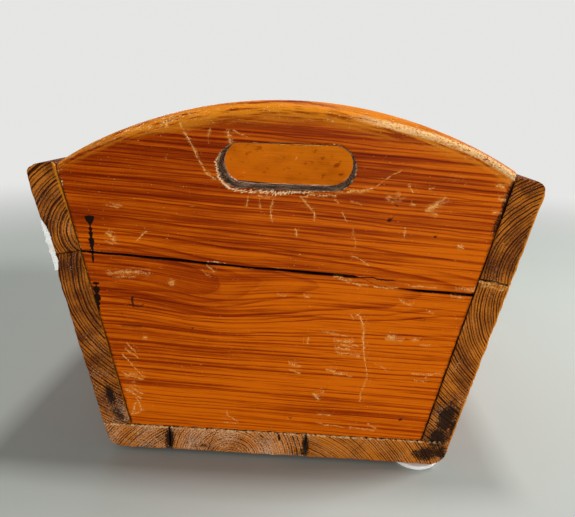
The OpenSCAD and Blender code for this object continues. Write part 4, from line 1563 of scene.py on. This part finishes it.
def side_rim_highlight(paint, colours, colour, side, inward, z, chatter, near_end):
    """A painted highlight on a side's ends, drawn as an amber line: along the inner edge on the left, where
    it grows thin further down, and along the outer edge on the right."""
    if side == "left":
        to_rim = inward + paint.smooth(225.0, 180.0, z) * 1.3
    else:
        to_rim = inward * -1.0 + (FLOOR_HALF - INSIDE_HALF) / MM
    # Painted highlight along the plank's edge.
    rim = paint.smooth(2.1, 1.0, to_rim + (chatter - 0.5) * 3.0) * near_end
    return paint.mix(rim * 0.75, colour, colours.amber_wear_and_highlight)


def iron_material(colours):
    """Rusted, blackened iron."""
    paint = new_paint("nail_iron")
    scale = paint.noise(paint.position(), 0.9, detail=4.0, roughness=0.7)
    rust = toned(colours.iron, (2.6, 2.6, 2.6))
    colour = paint.mix(paint.smooth(0.45, 0.65, scale), colours.iron, rust)
    return paint.finish(paint.surface(colour, scale * 0.3 + 0.45, paint.bump(scale * 0.3), Metallic=0.35))


def felt_material(colours):
    """White wool felt: short crossed fibres, a little soiled."""
    paint = new_paint("wool_felt")
    place = paint.position()
    fibre = paint.noise(place, (0.8, 2.6, 2.6), detail=4.0, roughness=0.75)
    crossed = paint.noise(place, (2.6, 0.8, 2.6), detail=4.0, roughness=0.75)
    soil = paint.noise(place, (0.08, 0.08, 0.2))
    dirty = toned(colours.felt, (0.72, 0.68, 0.60))
    colour = paint.mix(paint.smooth(0.42, 0.9, soil * 0.6 + fibre * 0.4), colours.felt, dirty)
    return paint.finish(paint.surface(colour, 0.95, paint.bump((fibre + crossed) * 0.35), Sheen_Weight=0.2))


def paper_material(colours):
    """Blank paper, a little foxed, with fine fibres."""
    paint = new_paint("label_paper")
    place = paint.position()
    pulp = paint.noise(place, 1.2, detail=4.0, roughness=0.7)
    foxing = paint.noise(place, 0.12, detail=3.0)
    dull = toned(colours.paper, (0.80, 0.72, 0.58))
    colour = paint.mix(paint.smooth(0.5, 0.75, foxing * 0.8 + pulp * 0.2), colours.paper, dull)
    speck = paint.noise(place, 0.7, shift=(0, 0, 8.0))
    speck_grey = (0.05, 0.05, 0.05)
    colour = paint.mix(paint.smooth(0.66, 0.72, speck) * 0.8, colour, speck_grey)
    return paint.finish(paint.surface(colour, 0.85, paint.bump(pulp * 0.05), Specular_IOR_Level=0.2))


# ---- Operators ----

def carcass_now():
    """The carcass for the sizes that are set now."""
    return Carcass(bpy.context.scene.box_sizes)


def colours_now():
    """The colours that are set now."""
    return bpy.context.scene.box_colours


class BuildEnds(bpy.types.Operator):
    """Builds the two arched end boards and the two boards under them"""

    bl_idname = "bobbin_box.build_ends"
    bl_label = "Ends"

    def execute(self, context):
        carcass, colours = carcass_now(), colours_now()
        for end in ("front", "rear"):
            front = end == "front"
            lower_pine = end_board_material(carcass, colours, end + "_lower_pine", front, False)
            lower_end_board(carcass, end, lower_pine)
            upper_pine = end_board_material(carcass, colours, end + "_upper_pine", front, True)
            upper_end_board(carcass, end, upper_pine)
        return {"FINISHED"}


class BuildSides(bpy.types.Operator):
    """Builds the four planks of the leaning sides"""

    bl_idname = "bobbin_box.build_sides"
    bl_label = "Sides"

    def execute(self, context):
        carcass, colours = carcass_now(), colours_now()
        for right in (False, True):
            side = "right" if right else "left"
            for upper in (False, True):
                name = side + ("_upper" if upper else "_lower")
                material = plank_material(carcass, colours, name, 30.3 + 5 * right + upper, side)
                side_plank(carcass, right, upper, material)
        return {"FINISHED"}


class BuildFloor(bpy.types.Operator):
    """Builds the three floor boards"""

    bl_idname = "bobbin_box.build_floor"
    bl_label = "Floor boards"

    def execute(self, context):
        carcass, colours = carcass_now(), colours_now()
        for place, seed in (("left", 61.1), ("middle", 62.2), ("right", 63.3)):
            material = plank_material(carcass, colours, place + "_floor", seed, "floor")
            floor_board(carcass, place, material)
        return {"FINISHED"}


class BuildNails(bpy.types.Operator):
    """Builds the cut nails of the sides and the floor"""

    bl_idname = "bobbin_box.build_nails"
    bl_label = "Cut nails"

    def execute(self, context):
        carcass = carcass_now()
        iron = iron_material(colours_now())
        cosine = math.cos(carcass.sizes.side_lean)
        sine = math.sin(carcass.sizes.side_lean)
        for side, turn in (("left", -1), ("right", 1)):
            right = side == "right"
            out_axis = (turn * cosine, 0, -sine)
            for end, way in (("front", -1), ("rear", 1)):
                y = way * SIDE_NAIL_Y * MM
                board = np.array([(up * MM, y, carcass.side_t) for up in NAIL_UPS[right]])
                nail_group(f"nails_{side}_{end}", on_side(carcass, right, board), (0, 1, 0), out_axis, iron)
        for end, way in (("front", -1), ("rear", 1)):
            heads = [(x * MM, way * END_ROW_Y * MM, FLOOR_LOW) for x in END_ROW_XS]
            nail_group("nails_floor_" + end, heads, (1, 0, 0), (0, 0, -1), iron)
        for side, turn in (("left", -1), ("right", 1)):
            heads = [(turn * SIDE_ROW_X * MM, y * MM, FLOOR_LOW) for y in SIDE_ROW_YS]
            nail_group("nails_floor_" + side, heads, (0, 1, 0), (0, 0, -1), iron)
        return {"FINISHED"}


class BuildPads(bpy.types.Operator):
    """Builds the four felt pads under the floor"""

    bl_idname = "bobbin_box.build_pads"
    bl_label = "Felt pads"

    def execute(self, context):
        felt = felt_material(colours_now())
        for place in ("front_left", "front_right", "rear_left", "rear_right"):
            felt_disc("felt_pad_" + place, felt)
        return {"FINISHED"}


class BuildLabel(bpy.types.Operator):
    """Builds the blank paper label on the left side"""

    bl_idname = "bobbin_box.build_label"
    bl_label = "Paper label"

    def execute(self, context):
        label_sheet(carcass_now(), paper_material(colours_now()))
        return {"FINISHED"}


class BuildStage(bpy.types.Operator):
    """Sets up the floor, the lights, the world and the camera"""

    bl_idname = "bobbin_box.build_stage"
    bl_label = "Stage"

    def execute(self, context):
        look = context.scene.stage_look
        lay_floor(look)
        add_lights(look)
        paint_world(look)
        place_camera(look)
        context.scene.view_settings.view_transform = "Standard"
        return {"FINISHED"}


def lay_floor(look):
    """A flat floor far wider than the box, at the height of the pads' undersides. Seen by the camera, it
    fades into the background further out."""
    half = 6.0                              # half the floor's width, in metres
    fade_from, fade_to = 450.0, 1500.0      # distances from the middle, in millimetres
    corners = np.array([(-half, -half, 0), (half, -half, 0), (half, half, 0), (-half, half, 0)])
    ground = build_mesh("stage_floor", corners + (0, 0, CAD_BOX[0][2]), np.array([[0, 1, 2, 3]]))
    paint = new_paint("stage_paint")
    x, y, _ = paint.position()
    dull = toned(look.floor_colour, (0.94, 0.94, 0.94))
    mottle = paint.mix(paint.noise((x, y, 0.0), 0.004), look.floor_colour, dull)
    matt = paint.surface(mottle, 0.7, Specular_IOR_Level=0.1)
    glow = paint.node("ShaderNodeEmission", inputs={"Color": tuple(look.far_colour) + (1.0,)}).outputs[0]
    seen = Number(paint, paint.node("ShaderNodeLightPath").outputs["Is Camera Ray"])
    far = paint.smooth(fade_from, fade_to, paint.length(x, y)) * seen
    blend = paint.node("ShaderNodeMixShader", inputs={0: far, 1: matt, 2: glow}).outputs[0]
    ground.data.materials.append(paint.finish(blend))


def add_lights(look):
    """Soft lights from the right and above, and weaker ones low down on the front, the back and the left."""
    aim = (0.0, -0.05, 0.12)
    for name, power, size, place in (
            ("right_light", look.right_power, 0.35, (1.05, 0.03, 0.95)),
            ("top_light", look.top_power, 0.16, (0.15, -0.04, 1.50)),
            ("front_light", look.front_power, 0.9, (0.25, -1.60, 0.30)),
            ("back_light", look.back_power, 0.9, (-0.40, 1.70, 0.45)),
            ("left_light", look.left_power, 0.9, (-1.60, -0.10, 0.40))):
        lamp = bpy.data.lights.new(name, "AREA")
        lamp.shape = "SQUARE"
        lamp.size = size
        lamp.energy = power
        piece = add_object(name, lamp)
        z_axis = np.array(place) - np.array(aim)
        z_axis /= np.linalg.norm(z_axis)
        x_axis = np.cross((0, 0, 1), z_axis)
        x_axis /= np.linalg.norm(x_axis)
        piece.matrix_world = axes_matrix(x_axis, np.cross(z_axis, x_axis), z_axis, place)


def axes_matrix(x_axis, y_axis, z_axis, place):
    """The matrix of an object at a place, turned so that its own axes point along three directions."""
    matrix = np.eye(4)
    matrix[:3] = np.stack([x_axis, y_axis, z_axis, place], -1)
    return mathutils.Matrix(matrix.tolist())


def paint_world(look):
    """An even pale sky. The camera and shiny surfaces see it as the background colour."""
    world = bpy.data.worlds.new("soft_sky")
    bpy.context.scene.world = world
    paint = Paint(world)
    rays = paint.node("ShaderNodeLightPath").outputs
    direct = paint.largest(rays["Is Camera Ray"], rays["Is Glossy Ray"])
    sky = paint.node("ShaderNodeBackground", inputs={"Color": (1.0, 0.99, 0.97, 1.0),
                                                     "Strength": look.sky_strength})
    seen = paint.node("ShaderNodeBackground", inputs={"Color": tuple(look.far_colour) + (1.0,)})
    blend = paint.node("ShaderNodeMixShader", inputs={0: direct, 1: sky.outputs[0], 2: seen.outputs[0]})
    paint.node("ShaderNodeOutputWorld", inputs={"Surface": blend.outputs[0]})


def place_camera(look):
    """The camera, from its place and its three angles."""
    pitch, yaw, roll = look.camera_pitch, look.camera_yaw, look.camera_roll
    ahead = np.array([math.sin(yaw) * math.cos(pitch), math.cos(yaw) * math.cos(pitch), -math.sin(pitch)])
    right = np.array([math.cos(yaw), -math.sin(yaw), 0])
    above = np.cross(right, ahead)
    x_axis = math.cos(roll) * right + math.sin(roll) * above
    y_axis = -math.sin(roll) * right + math.cos(roll) * above
    camera = bpy.data.cameras.new("main_camera")
    camera.lens = look.camera_lens
    camera.sensor_width = 36
    camera.clip_start = 0.01
    piece = add_object("main_camera", camera)
    piece.matrix_world = axes_matrix(x_axis, y_axis, -ahead, look.camera_at)
    bpy.context.scene.camera = piece


class BoxPanel(bpy.types.Panel):
    """The sidebar's list of pieces and sizes"""

    bl_idname = "VIEW3D_PT_bobbin_box"
    bl_label = "Bobbin Box"
    bl_space_type = "VIEW_3D"
    bl_region_type = "UI"
    bl_category = "Bobbin Box"

    def draw(self, context):
        for operator in OPERATORS:
            self.layout.operator(operator.bl_idname)
        for group in (context.scene.box_sizes, context.scene.box_colours, context.scene.stage_look):
            column = self.layout.column()
            for name in group.__annotations__:
                column.prop(group, name)


OPERATORS = (BuildEnds, BuildSides, BuildFloor, BuildNails, BuildPads, BuildLabel, BuildStage)
GROUPS = {"box_sizes": BoxSizes, "box_colours": BoxColours, "stage_look": StageLook}


def register():
    """Registers the property groups, the operators and the panel."""
    for kind in (*GROUPS.values(), *OPERATORS, BoxPanel):
        bpy.utils.register_class(kind)
    for name, group in GROUPS.items():
        setattr(bpy.types.Scene, name, bpy.props.PointerProperty(type=group))


def unregister():
    """Takes them away again."""
    for name in GROUPS:
        delattr(bpy.types.Scene, name)
    for kind in reversed((*GROUPS.values(), *OPERATORS, BoxPanel)):
        bpy.utils.unregister_class(kind)


def main():
    """Builds everything."""
    register()
    for operator in OPERATORS:
        section, name = operator.bl_idname.split(".")
        getattr(getattr(bpy.ops, section), name)()


if __name__ == "__main__":
    main()
